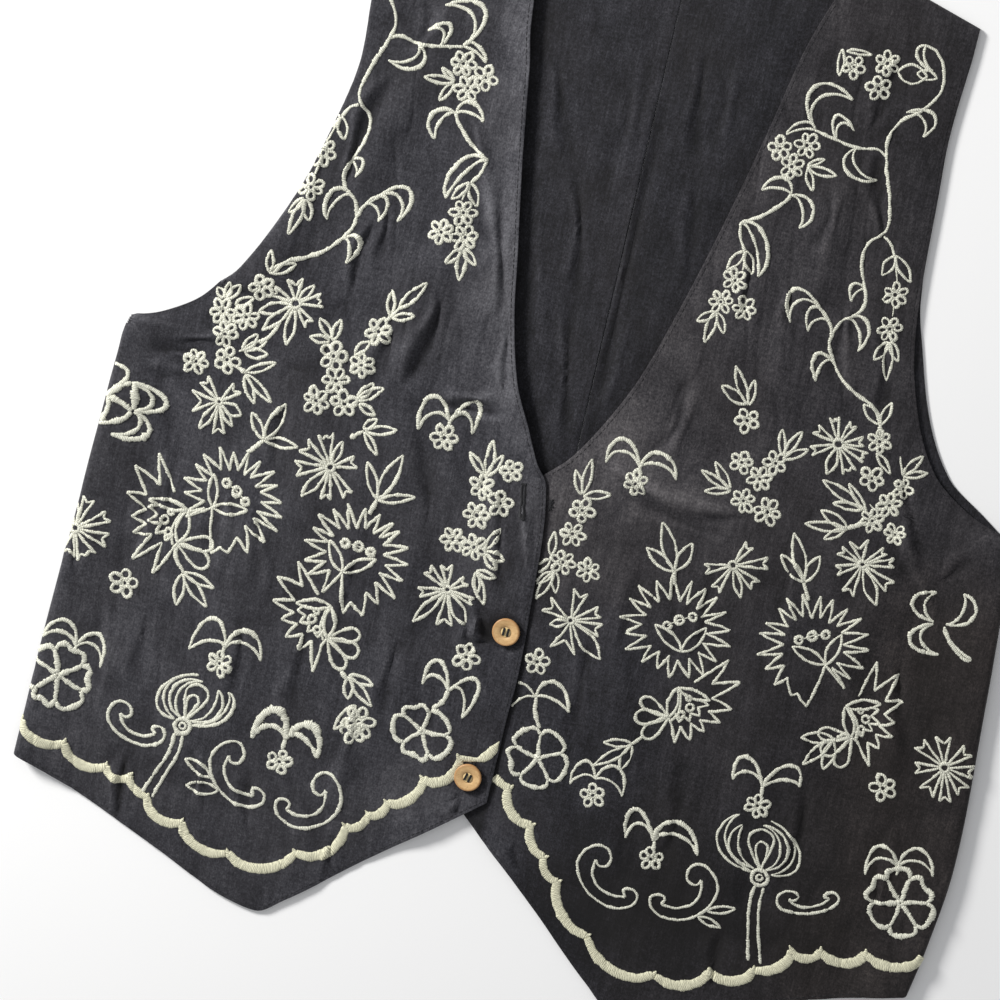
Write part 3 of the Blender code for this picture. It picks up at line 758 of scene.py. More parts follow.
def back_cut(side, a, y):
    """Points of one half of the back, at the share `a` of the way from its centre seam to its side."""
    front = LEFT if side > 0 else RIGHT
    first = front.under_edge(UNDERARM) - side * SIDE_GAP
    later = BACK_CENTRE + side * read(BACK_ARMHOLE, y)
    bend = first - (BACK_CENTRE + side * BACK_ARMHOLE[0][1])
    later = later + bend * smooth((JOIN_TOP - y) / JOIN_LENGTH)
    edge = np.where(y <= UNDERARM, front.under_edge(y) - side * SIDE_GAP, later)
    x = BACK_CENTRE + side * GAP / 2
    x = x + (edge - x) * a
    out = side * x + read(front.lean, y)
    inner = float(read(front.inner, SHOULDER_TOP) - read(front.lean, SHOULDER_TOP))
    neck = inner - side * BACK_CENTRE
    reach = abs(x - BACK_CENTRE)
    neck_end = float(shoulder(read(front.inner, SHOULDER_TOP)))
    neck_end = neck_end - BACK_NECK_DEPTH * (1.0 - (reach / neck) ** 2)
    end = np.where(reach < neck, neck_end, shoulder(out))
    end = end - SHOULDER_ROLL * (math.pi / 2 - 1.0) - CLOTH / 2 - GAP
    return x, y + (end - SHOULDER_TOP) * towards_shoulder(y)


def back_lay(x, y):
    """The back's points in metres in the frame: flat under the fronts, creased inside the neck opening."""
    room = smooth(neck_opening(x, y) / CREASED_FROM)
    wave = creases(x, y, BACK_CREASES) + 0.3 * clouds(x, y, size=26.0, seed=11)
    wave = wave + 0.7 * rumple(x + ELSEWHERE, y) + BACK_SLACK
    z = LYING - LOWERED + room * SETTLING * np.logaddexp(0.0, wave / SETTLING)
    return np.stack([x, y, z], -1) * MM + origin


def back_shade(side, x, y):
    """How pale the back is painted: painted shade makes it darker than the fronts', and painted shadow
    darkest beside the right front.
    """
    crease = creases(x, y, BACK_CREASES) + 0.5 * rumple(x + ELSEWHERE, y)
    # painted shadow beside the right front's neck edge
    edge_shadow = 0.16 * near(past_right_edge(x, y), 14.0)
    # painted shade: darker than the fronts, the left half a little darker still, and darker in its creases
    return 0.30 - 0.05 * (side > 0) - edge_shadow + 0.12 * np.clip(crease, -2.0, 1.2)


def back_panel(side, name):
    """The cloth of one half of the back, and the area of its cut."""
    return panel(
        name + "_cloth", BACK_COLUMNS, BACK_ROWS,
        lambda a, y: back_cut(side, a, y), back_lay, lambda x, y: back_shade(side, x, y),
    )


# ---------------------------------------------------------------- the embroidery


def travelled(line):
    """How far along the line each of its points is."""
    return np.concatenate([[0], np.cumsum(np.linalg.norm(np.diff(line, axis=0), axis=1))])


def leftwards(line, tiny=0.0):
    """At each point, the direction that lies to the left of the line."""
    way = np.gradient(line, axis=0)
    way /= np.linalg.norm(way, axis=1, keepdims=True) + tiny
    return np.stack([-way[:, 1], way[:, 0]], -1)


def through(points, step=0.85):
    """A smooth line through the points, in even steps."""
    points = np.array(points, float)
    if len(points) == 2:
        count = max(int(round(np.linalg.norm(points[1] - points[0]) / step)), 2)
        return points[0] + (points[1] - points[0]) * np.linspace(0, 1, count + 1)[:, None]
    ends = np.concatenate([2 * points[:1] - points[1:2], points, 2 * points[-1:] - points[-2:-1]])
    if np.allclose(points[0], points[-1]):
        ends[0], ends[-1] = points[-2], points[1]
    line = []
    t = np.linspace(0, 1, 16, endpoint=False)[:, None]
    for p0, p1, p2, p3 in zip(ends, ends[1:], ends[2:], ends[3:]):
        square, cube = 2 * p0 - 5 * p1 + 4 * p2 - p3, 3 * p1 - p0 - 3 * p2 + p3
        line.append(0.5 * (2 * p1 + (p2 - p0) * t + square * t**2 + cube * t**3))
    line = np.concatenate(line + [points[-1:]])
    gone = travelled(line)
    even = np.linspace(0, gone[-1], max(int(round(gone[-1] / step)), 3) + 1)
    return np.stack([np.interp(even, gone, line[:, k]) for k in (0, 1)], -1)


def arch(base, peak, tip, fullness, lean=0.0):
    """A rounded line from base to tip, with `peak` at its middle, where it leans by so many degrees."""
    base, peak, tip = (np.array(p, float) for p in (base, peak, tip))
    middle, run = (8 * peak - base - tip) / 6, turned((tip - base) * fullness / 2, turn=lean)
    first, second = middle - run, middle + run
    t = np.linspace(0, 1, 13)[:, None]
    return base * (1 - t) ** 3 + 3 * first * t * (1 - t) ** 2 + 3 * second * t * t * (1 - t) + tip * t**3


def turned(points, at=(0.0, 0.0), turn=0.0, size=1.0, flip=1):
    """A motif's points at their place on the cut, turned by degrees; a flip of -1 mirrors them first."""
    c, s = math.cos(math.radians(turn)), math.sin(math.radians(turn))
    points = np.array(points, float) * size * (flip, 1)
    return points @ np.array([[c, s], [-s, c]]) + at


class Needle:
    """Gathers one front's satin-stitched ribbons, then makes them one mesh on the laid cloth.

    `bold` widens the ribbons, `full` the small flowers, and `moved` holds rows of MOVED.
    """

    SECTION = ((-0.5, 0.0), (-0.32, 1.0), (0.32, 1.0), (0.5, 0.0))  # across, height
    WIDE = (
        (-0.5, 0.0), (-0.4, 0.62), (-0.2, 0.93), (0.0, 1.0),
        (0.2, 0.93), (0.4, 0.62), (0.5, 0.0), (0.0, -0.3),
    )
    OUTER_MARGIN, INNER_MARGIN = 0.8, 0.6  # stitches stay this far inside the cut's edges
    KNOT = 2.3  # a ribbon swells and sways between places this far apart
    SUNK, HOLLOW = 0.06, -0.35  # its feet are inside the cloth, and so is the keel of a wide one
    UNDER_RIM, RIM_RISE = 0.33, 2.0  # its height under a button's rim, and how fast it rises beyond the rim
    NEIGHBOURS, HOLD = 17.0, 0.15  # how far a row of MOVED reaches, and how firmly the rest stays
    PHASES, PHASE = 97, 3.1  # each ribbon's thread starts at a place of its own in the map

    def __init__(self, front, seed, bold, full, moved=()):
        self.front, self.bold, self.full, self.moved = front, bold, full, moved
        self.chance = np.random.default_rng(seed)
        self.points, self.faces, self.maps, self.count = [], [], [], 0

    def shift(self, line):
        """The two fronts were stitched apart: each motif sits a few millimetres from its pair."""
        if not self.moved:
            return line
        rows = np.array(self.moved)
        away = (line[:, None, 0] - rows[:, 0]) ** 2 + (line[:, None, 1] - rows[:, 1]) ** 2
        weight = np.exp(-(away / (2 * self.NEIGHBOURS**2)))
        return line + (weight @ rows[:, 2:]) / (weight.sum(1, keepdims=True) + self.HOLD)

    def visible(self, line):
        """Where the needle went through cloth that shows: not turned under, nor under the other front."""
        out, y = line[:, 0], line[:, 1]
        fold, radius = read(self.front.turn, y, 1), read(self.front.turn, y, 2)
        shows = (out < fold + 0.1 * radius) & (out < self.front.cut_edge(y) - self.OUTER_MARGIN)
        if self.front is LEFT:
            shows &= (out > -read(RIGHT_INNER, y) + 0.2) | (y > 2.0)
        return shows & (out > read(self.front.inner, y) + self.INNER_MARGIN)

    def pressed(self, place, rise):
        """The buttons press on what runs under them."""
        for _, x0, y0, _ in BUTTONS:
            beyond = np.hypot(place[..., 0] + x0, place[..., 1] - y0) - (BUTTON_RADIUS + GAP)
            rise = np.minimum(rise, self.UNDER_RIM + self.RIM_RISE * np.clip(beyond, 0.0, 1.0))
        return rise

    def stitch(
        self, points, width=1.4, ends=(0.6, 0.6), step=0.7, ragged=0.16, high=None, section=None, raw=False,
    ):
        """One ribbon along a line.

        `width` may be a list, spread evenly along it, and `ends` are the shares of it
        left at the ends. A `raw` ribbon is neither moved nor widened.
        """
        line = through(points, step)
        width = np.atleast_1d(width).astype(float)
        if not raw:
            line = self.shift(line)
            width = width * (self.bold - 0.1 * smooth((line[:, 1].mean() - 80.0) / 40.0))
        count, gone = len(line), travelled(line)
        width = np.interp(np.linspace(0, 1, count), np.linspace(0, 1, len(width)), width)
        reach = np.maximum(1.1 * width, 1.2)
        start, stop = (
            share + (1 - share) * np.sqrt(np.clip(far / reach, 0, 1))
            for share, far in zip(ends, (gone, gone[-1] - gone))
        )
        knots = np.arange(0, gone[-1] + self.KNOT, self.KNOT)
        swell = np.interp(gone, knots, self.chance.normal(1.0, ragged, len(knots)))
        width = width * start * stop * swell
        sway = np.interp(gone, knots, self.chance.normal(0.0, 0.6 * ragged, len(knots)))
        zigzag = 0.4 * ragged * ((np.arange(count) % 2) * 2 - 1)
        left, right = (zigzag + self.chance.normal(0, 0.8 * ragged, count) for _ in range(2))
        side = leftwards(line, 1e-9)
        line = line + side * sway[:, None]
        wide = WIDE_FROM if section else 0.0
        section = np.array(section or self.SECTION)
        middle = high if high is not None else 0.14 * width + 0.14
        middle = middle + self.chance.uniform(-0.04, 0.06)
        shows = self.visible(line)
        runs = np.flatnonzero(np.diff(np.concatenate([[0], shows.astype(int), [0]])))
        for first, last in zip(runs[::2], runs[1::2]):
            if last - first < 3:
                continue
            rows = slice(first, last)
            lean = np.where(section[None, :, 0] < 0, 1 + left[rows, None], 1 + right[rows, None])
            across = section[None, :, 0] * width[rows, None] * lean
            place = line[rows, None, :] + side[rows, None, :] * across[..., None]
            rise = section[None, :, 1] * (np.broadcast_to(middle, count)[rows, None])
            if self.front is RIGHT:
                rise = self.pressed(place, rise)
            rise = np.where(section[None, :, 1] < 0, self.HOLLOW, rise) + WALL / 2 - self.SUNK
            self.points.append(np.concatenate([place, rise[..., None]], -1).reshape(-1, 3))
            phase = self.count % self.PHASES * self.PHASE
            along = np.repeat(gone[rows, None], len(section), 1) + phase + wide
            self.maps.append(np.stack([along, across], -1).reshape(-1, 2))
            self.faces += self.skin(last - first, len(section))
            self.count += (last - first) * len(section)

    def skin(self, rows, ring):
        """The faces round a ribbon and at its two ends."""
        base, faces = self.count, []
        for r in range(rows - 1):
            for k in range(ring):
                a, b = base + r * ring + k, base + r * ring + (k + 1) % ring
                faces.append((a, a + ring, b + ring, b))
        faces.append(tuple(base + k for k in range(ring)))
        faces.append(tuple(base + (rows - 1) * ring + k for k in reversed(range(ring))))
        return faces

    def done(self, name, finish, slot):
        """The gathered ribbons as one piece, laid on the cloth."""
        points = np.concatenate(self.points)
        laid = self.front.lay(points[:, 0], points[:, 1], points[:, 2])
        faces = self.faces if self.front.side < 0 else [face[::-1] for face in self.faces]
        mesh = bpy.data.meshes.new(name)
        mesh.from_pydata(laid, [], faces)
        mesh.update()
        add_map(mesh, "stitch", np.concatenate(self.maps))
        piece = bpy.data.objects.new(name, mesh)
        bpy.context.scene.collection.objects.link(piece)
        alone(piece)
        bpy.ops.object.shade_smooth()
        return finished(piece, finish, slot)


def leaf(needle, out, y, tip_out, tip_y, width, thick=1.35):
    """An outlined pointed leaf: two bowed lines from its foot to its tip."""
    foot, tip = np.array((out, y)), np.array((tip_out, tip_y))
    run = tip - foot
    side = np.array((-run[1], run[0])) / np.linalg.norm(run) * (width - 0.6 * thick) / 2
    wobble = needle.chance.uniform(0.85, 1.15, 2)
    for way, bend in ((1, wobble[0]), (-1, wobble[1])):
        bow = side * way * bend
        middle = [foot + along * run + off * bow for along, off in ((0.22, 0.72), (0.5, 1), (0.78, 0.62))]
        needle.stitch([foot, *middle, tip], [thick, thick, 1.05 * thick, 0.9 * thick])


def flower(needle, out, y, size=1.0, petals=6):
    """A small flower of ring petals that touch, around a knot."""
    start = needle.chance.uniform(0, 360)
    size = size * needle.full
    wide = 1.55 if petals > 5 else 1.9
    for i in range(petals):
        angle = start + 360 * i / petals + needle.chance.uniform(-9, 9)
        far = 3.95 * size * needle.chance.uniform(0.92, 1.08)
        long = 2.15 * needle.chance.uniform(0.88, 1.15)
        oval = [(long * math.cos(a), wide * math.sin(a)) for a in np.linspace(math.pi, 3 * math.pi, 9)]
        oval = np.array(oval) * size * needle.chance.uniform(0.92, 1.1) + (far, 0)
        thick = 1.5 * needle.chance.uniform(0.88, 1.14)
        needle.stitch(turned(oval, (out, y), angle), thick, (0.9, 0.9), step=0.8)
    ring(needle, out, y, 1.35 * size, 1.1)


def ring(needle, out, y, radius, thick=1.5):
    """A small closed ring."""
    angles = np.linspace(0.4, 0.4 + 2 * math.pi, 9)
    points = [(out + radius * math.cos(angle), y + radius * math.sin(angle)) for angle in angles]
    needle.stitch(points, thick, (0.95, 0.95), step=min(0.9, 0.7 * radius))


def loop(needle, out, y, turn, long, wide, thick=1.5):
    """A round-ended loop that starts and ends at its foot."""
    shares = (  # along, and of its half width
        (0, 0), (0.42, 0.72), (0.76, 1), (0.97, 0.5), (0.98, -0.4), (0.78, -1), (0.42, -0.72), (0, 0),
    )
    half = wide / 2
    line = [(along * long, across * half) for along, across in shares]
    line[0], line[-1] = (0, 0.2), (0, -0.2)
    needle.stitch(turned(line, (out, y), turn), thick)


def crescent(
    needle, out, y, peak_out, peak_y, inner_out, inner_y, tip_out, tip_y, thick=1.7, full=0.85, lean=0.0,
):
    """Two arched lines from one foot to one tip: a thick outer one and a thin inner one."""
    foot, tip = (out, y), (tip_out, tip_y)
    outer = arch(foot, (peak_out, peak_y), tip, full, lean)
    inner = arch(foot, (inner_out, inner_y), tip, full - 0.2, lean)
    needle.stitch(outer, thick * np.array((0.8, 1.0, 1.18, 1.0, 0.75)))
    needle.stitch(inner, thick * np.array((0.75, 0.82, 0.92, 0.82, 0.7)))


def star(needle, out, y, eye, *petals):
    """Petals round a small ring. Each is its angle, length, width and teeth: 1 is a plain point."""
    thick = 1.35
    ring(needle, out, y, eye, 1.5)
    for angle, long, wide, teeth in petals:
        half = wide / 2
        if teeth == 1:
            tips = [(long, 0.0)]
            side = [(0.4 * long, 0.8 * half), (0.66 * long, half)]
        else:
            tips = [(0.98 * long, -half), (long, half)]
            side = [(0.5 * long, 0.34 + 0.36 * half), (0.78 * long, 0.74 * half)]
        if teeth == 3:
            tips.insert(1, (0.95 * long, needle.chance.uniform(-0.5, 0.5)))
        for way, tip in ((-1, tips[0]), (1, tips[-1])):
            line = [(eye, 0.3 * way), *[(along, across * way) for along, across in side], tip]
            needle.stitch(turned(line, (out, y), angle), thick)
        for a, b in zip(tips, tips[1:]):
            notch = long - max(2.9, 0.46 * abs(b[1] - a[1]))
            valley = (notch, (a[1] + b[1]) / 2 + needle.chance.uniform(-0.4, 0.4))
            for tip in (a, b):
                needle.stitch(turned([valley, tip], (out, y), angle), thick)


def zigzag(needle, corners, centre, thick=1.35, full=0.07):
    """A line that turns sharply at each corner, its stretches a little bowed away from a centre."""
    for a, b in zip(corners, corners[1:]):
        a, b = np.array(a, float), np.array(b, float)
        run = b - a
        away = (a + b) / 2 - centre
        bow = away / np.linalg.norm(away) * np.linalg.norm(run) * full * needle.chance.uniform(0.2, 1.8)
        reach = 0.3 * run / np.linalg.norm(run)
        needle.stitch([a - reach, (a + b) / 2 + bow, b + reach], thick, (0.75, 0.75))


def toothed(needle, out, y, start, sweep, teeth, valleys, tips, thick=1.35, loose=2.5):
    """A zigzag round a centre. `valleys` and `tips` are its radii, spread evenly from start to end."""
    corners = []
    for i in range(2 * teeth + 1):
        share = i / (2 * teeth)
        radii = tips if i % 2 else valleys
        radius = np.interp(share, np.linspace(0, 1, len(radii)), radii) * needle.chance.uniform(0.93, 1.06)
        angle = math.radians(start + sweep * share + needle.chance.uniform(-loose, loose))
        corners.append((out + radius * math.cos(angle), y + radius * math.sin(angle)))
    zigzag(needle, corners, np.array((out, y)), thick)
    return corners


def dahlia(needle, out, y, radius, turn, stem=True, tilt=0.0, slide=0.0):
    """A ring of pointed petals round two leaves and three linked rings, and a stem out through it."""
    size, middle = radius / 28.5, np.array((out, y))

    def at(*points):
        return turned(points, (out, y), turn, size)

    foot, a, b = at((5.0, -12.5), (-11.5, -1.0), (15.5, 3.0))
    leaf(needle, *foot, *a, 6.4)
    leaf(needle, *foot, *b, 6.6)
    centres = [(-7.5 + slide, 2.0), (-0.5 + slide, 3.4), (6.8 + slide, 3.4)]
    centres = turned(centres, (out, y), turn + tilt, size)
    for centre, across in zip(centres, (1.9, 2.3, 2.0)):
        ring(needle, *centre, across, 1.7)
    needle.stitch(centres, 0.7)
    lean = 0.35 * turn
    if stem:
        valleys, tips = [28, 17, 16, 14.5, 13.5, 15, 17, 17.5], [34, 30.5, 28.5, 26, 24.5, 27, 28.5, 29]
        start, sweep, teeth = lean - 97, -312, 17
        end = turned([(0.5, -34.5)], (out, y), lean, size)[0]
        needle.stitch([foot, (foot + end) / 2 + (0.6, 0.0), end], 1.4)
    else:
        valleys, tips = [16.5, 17.5, 18, 15, 14, 15.5, 18, 17.5], [26, 28.5, 30, 27, 25, 27.5, 30, 28.5]
        start, sweep, teeth = lean - 93, -360, 19
    valleys, tips = np.array(valleys) * size, np.array(tips) * size
    corners = toothed(needle, out, y, start, sweep, teeth, valleys, tips, loose=3.2)
    if stem:
        zigzag(needle, [end, corners[0]], middle)
        zigzag(needle, [corners[-1], *at((13.5, -26.0)), foot], middle)
    else:
        zigzag(needle, [corners[-1], corners[0]], middle)


def bract(needle, out, y, turn, size=1.0, loops=3, tips=(32, 35, 28.5, 23, 22.5, 23.5, 34)):
    """A bud under two lens-shaped sheaths, toothed below and beyond, with three loops behind it."""

    def at(*points):
        return turned(points, (out, y), turn, size)

    def scaled(*radii):
        return np.array(radii) * size

    top, foot, far = at((2.0, 15.0), (0.5, -2.5), (21.5, 12.0))
    bud, heart = at((5.0, 9.0))[0], at((5.0, 8.0))[0]
    leaf(needle, *foot, *top, 7.0 * size, 1.5)
    leaf(needle, *top, *far, 6.0 * size, 1.6)
    needle.stitch(at((4.5, 13.0), (5.6, 3.0), (2.5, -4.5)), 1.3)
    toothed(needle, *bud, turn + 14, -112, 4, scaled(11.0, 9.5, 9.0), scaled(15.5, 14.0, 13.0), loose=1.5)
    for x, up, radius in ((11.0, 5.5, 2.0), (7.0, 0.5, 1.8), (9.5, 10.5, 1.3)):
        ring(needle, *at((x, up))[0], radius * size, 1.5)
    valleys = scaled(13.5, 19.5, 19.0, 17.0, 15.5, 15.0, 15.0, 14.5)
    corners = toothed(needle, *heart, turn + 64, -164, 7, valleys, scaled(*tips), thick=1.4)
    needle.stitch([corners[-1], (corners[-1] + foot) / 2, foot], 1.3)
    for angle, long, wide in ((158, 18.0, 7.5), (193, 18.5, 8.5), (231, 18.5, 8.0))[:loops]:
        loop(needle, *foot, turn + angle, long * size, wide * size)


def rosette(needle, out, y, radius, petals, turn, thick=2.1):
    """A large flower of blunt petals that share their thick sides."""
    ring(needle, out, y, 0.08 * radius, 2.2)
    share = 360 / petals
    spokes = [turn + share * i + needle.chance.uniform(-7, 7) for i in range(petals)]
    for angle, following in zip(spokes, spokes[1:] + [spokes[0] + 360]):
        wide = following - angle
        spoke = [(0.1 * radius, 0), (0.45 * radius, 0.4), (0.82 * radius, 0)]
        needle.stitch(turned(spoke, (out, y), angle), [1.25 * thick, 0.85 * thick, 0.95 * thick])
        reach = needle.chance.uniform(0.97, 1.07)
        dip = needle.chance.choice((0.9, 1.0, 1.02))
        edge = ((0.8, 0.02), (0.95, 0.12), (1, 0.27), (dip, 0.5), (1, 0.74), (0.95, 0.88), (0.8, 0.98))
        line = []
        for far, way in edge:
            angles = math.radians(wide * way)
            line.append((radius * reach * far * math.cos(angles), radius * reach * far * math.sin(angles)))
        widths = [0.85 * thick, 1.05 * thick, 1.1 * thick, 1.05 * thick, 0.85 * thick]
        needle.stitch(turned(line, (out, y), angle), widths, (0.8, 0.8))


LOTUS = (  # a crescent of the bud: foot, outer peak, inner peak, tip
    (-3.8, 4, -20.2, 13.8, -15.2, 14.6, -15, 26.2), (2, 4.6, 10.8, 19.5, 6.8, 19, -5, 28.4),
    (5.5, 3.2, 18.2, 15.6, 14.6, 19, -1.5, 31.8),
)
STALKS = (((-1.3, -5), (-1.8, -16), (1, -31), (4.8, -47)), ((3.4, -5), (3.4, -16), (6.4, -30), (11.6, -47)))


def lotus(needle, out, y, size, thick, outermost):
    """A round bud of nested crescents over a ringed eye and a double stem."""
    for row in (outermost, *LOTUS):
        full, lean = (0.68, -34.0) if row[0] < 0 else (0.85, 0.0)
        places = (value * size + (out, y)[k % 2] for k, value in enumerate(row))
        crescent(needle, *places, thick, full, lean)
    loop(needle, out - 1.0 * size, y + 4.5 * size, 101, 21.8 * size, 13.4 * size, thick)
    loop(needle, out - 0.6 * size, y + 5.0 * size, 101, 14.6 * size, 6.4 * size, thick)
    ring(needle, out, y, 4.4, 2.0)
    ring(needle, out, y, 1.7, 1.2)
    for stalk in STALKS:
        needle.stitch([(out + across, y + up) for across, up in stalk], 1.6)


SCROLL = (  # a C lying on its back: outside it, then along its hollow side
    ((-0.62, 0.12), (-0.42, 0.08), (-0.28, 0.26), (-0.4, 0.51), (-0.68, 0.59), (-0.93, 0.4), (-1, 0.02),
     (-0.85, -0.36), (-0.45, -0.62), (0.05, -0.7), (0.55, -0.58), (0.9, -0.28), (1, 0.06), (0.88, 0.31),
     (0.66, 0.31), (0.52, 0.14), (0.7, 0)),
    ((0.7, 0), (0.4, -0.26), (0, -0.36), (-0.38, -0.22), (-0.62, 0.12)),
)


def scroll(needle, out, y, turn, size, flip, flat=1.0):
    """A scroll, which `flat` makes lower than it is long."""
    for line in SCROLL:
        needle.stitch(turned(np.array(line) * (1.0, flat), (out, y), turn, size, flip), 1.45, (0.9, 0.9))


def stem(needle, thick, *points):
    """One line of stitching, of any length."""
    needle.stitch(points, thick)


VINE_WIDTHS = (1.4, 1.8, 1.5, 1.9, 1.4, 1.8, 1.6, 2.0, 1.8)
VINE = (  # out, y
    (140.5, 262), (147.5, 259.5), (152.5, 252), (153.7, 241), (147, 230), (138.5, 223), (133.9, 213),
    (136.2, 200), (141.5, 185), (144.6, 171), (142, 164.5), (137.6, 160.3), (135.6, 153), (137.5, 144),
    (142.6, 131), (140, 123), (133, 117), (130, 107), (132, 100), (140, 89.5), (150, 82.8), (159, 79),
    (165, 71),
)
STEMS = (  # thickness, then its points
    (1.6, (135, 203.5), (130, 206.3), (119.5, 204.6), (107, 206.5), (97, 208.5)),
    (1.5, (143.5, 164.3), (147.5, 162), (151.6, 155.5)), (0.8, (151.6, 155.5), (154, 149), (156.2, 142.5)),
    (0.7, (157, 131), (157.8, 126)), (2, (93, 174), (91, 170), (82, 161), (71, 154)),
    (1.7, (71.3, 154), (73, 147), (76.8, 141)), (1, (77.2, 141), (78.4, 131)),
    (1.7, (130, 108), (128, 114.5), (120, 122)), (1.8, (231, -155), (231.2, -159)),
)
LEFT_STEMS = (
    (2.1, (80.2, -30.5), (82, -38)), (2.1, (147, -19.5), (151.8, -28)), (1.8, (50, 18.3), (50, 15)),
    (1.8, (103.4, -176), (104, -181)), (2, (152, -131), (152.6, -137)),
    (2.2, (24.2, -116), (25.5, -124), (29.8, -132)), (1.9, (188, -91), (182, -97)),
    (1.9, (84, -122), (80, -127)), (2.2, (162, 13.8), (170.8, 19.5)), (1.3, (183.4, 48), (183.8, 45)),
    (1, (182.8, 47.5), (179, 57)), (2, (169.5, 25.5), (165, 27)), (0.7, (170, 29), (175, 26)),
    (1.6, (165, 71), (166.5, 65)),
)
RIGHT_STEMS = (
    (2.1, (82.5, -33), (85, -42)), (2.1, (149, -17), (157, -26)), (1.8, (53.5, 17), (53.5, 13)),
    (2, (104, -175), (104.5, -181)), (2, (147, -134), (147.6, -139)),
    (2.2, (22.5, -125), (24, -131), (29, -137)), (1.9, (184.6, -85), (184, -92), (178, -99.5)),
    (1.9, (82, -130), (77, -134)), (2.2, (97.5, 1), (104, -4.5)),
    (1.6, (94.5, 69.5), (98, 64), (100.5, 60.5)), (1.6, (104, 15.5), (106.5, 13.5)),
    (2, (166, 15.5), (173, 18)), (1.6, (155, 47), (157.5, 40), (163, 33)), (1.2, (173, 26), (171, 27.5)),
    (2.2, (236.5, 4.5), (229.5, 2.4), (228.8, -2.5), (234.5, -9), (238, -13)),
    (2.4, (225.5, -4), (230, -6), (234.5, -10.5), (238, -14)), (2.4, (223, -19), (229, -15.8), (237, -14)),
    (2.4, (223, -19.5), (226, -23.5), (231.5, -27), (239, -29.5)),
    (2.4, (236.5, -14.5), (236, -20), (238.5, -28.5)), (3.6, (222, -18), (222.6, -10), (224, -3)),
)
LEAVES = (  # foot, tip, width
    (101, 251, 102.5, 237.5, 3.6), (103, 250.5, 116, 251.5, 3), (130.5, 246, 145.5, 247, 9.5),
    (140, 247.5, 150.5, 247.5, 5.5), (97.5, 190, 105.5, 195.5, 2.8), (97.5, 189.5, 113.5, 188.5, 4.8),
    (98, 189, 103.5, 178.5, 4.2), (77, 141, 70, 129.5, 5.6), (77.5, 141, 83.5, 130, 4.8),
    (70, 107, 61, 100, 4.2), (70, 107.5, 67.5, 90, 5.4), (70.5, 107, 76.5, 97, 4.4),
    (151.5, 156, 147.5, 145, 5.8), (152, 156.5, 162.5, 145, 5.4), (159, 113, 154, 102, 4.8),
    (159.5, 113, 162.5, 93, 5.6), (160, 113.5, 166, 104, 4.2), (80, -127, 65, -130, 5.2),
    (79.5, -128, 62.5, -144, 5.8), (80, -128, 77, -142.5, 5.8),
)
LEFT_LEAVES = (
    (139.6, -206, 154, -200.5, 4.4), (135.6, -210.3, 149, -213.2, 4.4), (147, -19, 136, 5, 7.2),
    (146.5, -19.5, 132, -8, 6.6), (147.5, -19, 152, -3.5, 6.6), (80, -30, 68.5, -6.5, 8.2),
    (80, -31, 63, -22, 6.6), (80.5, -30.5, 86, -13.5, 7.6), (24, -3, 24.5, 16.5, 5.6),
    (23, -3.5, 17.5, 9, 4.2), (24.5, -4, 38.5, 0.5, 4.8), (15, -39.5, 14, -26, 4.6), (15, -41, 9, -50, 5),
    (19, -47, 22, -58.5, 4.6), (18.5, -47.5, 12, -64, 5.6), (18.5, -47, 10, -56, 5),
    (182, -96.5, 165, -100, 6.2), (181.5, -97.5, 169.5, -114, 6.2), (182, -97.5, 180.5, -114, 6.4),
    (97, 64, 86, 82.5, 5.2), (97.5, 64, 97.5, 77.5, 4.8), (96, 64, 81.5, 71, 6.2),
    (120.5, 42.5, 117, 56, 4.4), (121.5, 43, 127.5, 57.5, 4.8), (121, 41, 133, 49, 5),
    (98.5, 19.5, 87.5, 31, 4.6), (98, 18.5, 81.5, 25, 4.2), (99, 18, 85.5, 14.5, 4.2),
    (165.5, 70.5, 154.5, 79, 5.8), (165.5, 70.5, 168.5, 83, 4.8), (183, 48, 190.5, 60, 5),
    (183.5, 47.5, 195, 52, 4), (167, 56, 176.5, 47, 4.2), (169, 25.5, 157, 37, 4),
    (166, 27, 143.5, 35.5, 5.6), (167, 25.5, 151.5, 25, 4.4), (162, 14, 146.5, 20, 5.4),
    (162, 13.5, 140, 11, 5.2), (161, 13, 151.5, 5.5, 4.6),
)
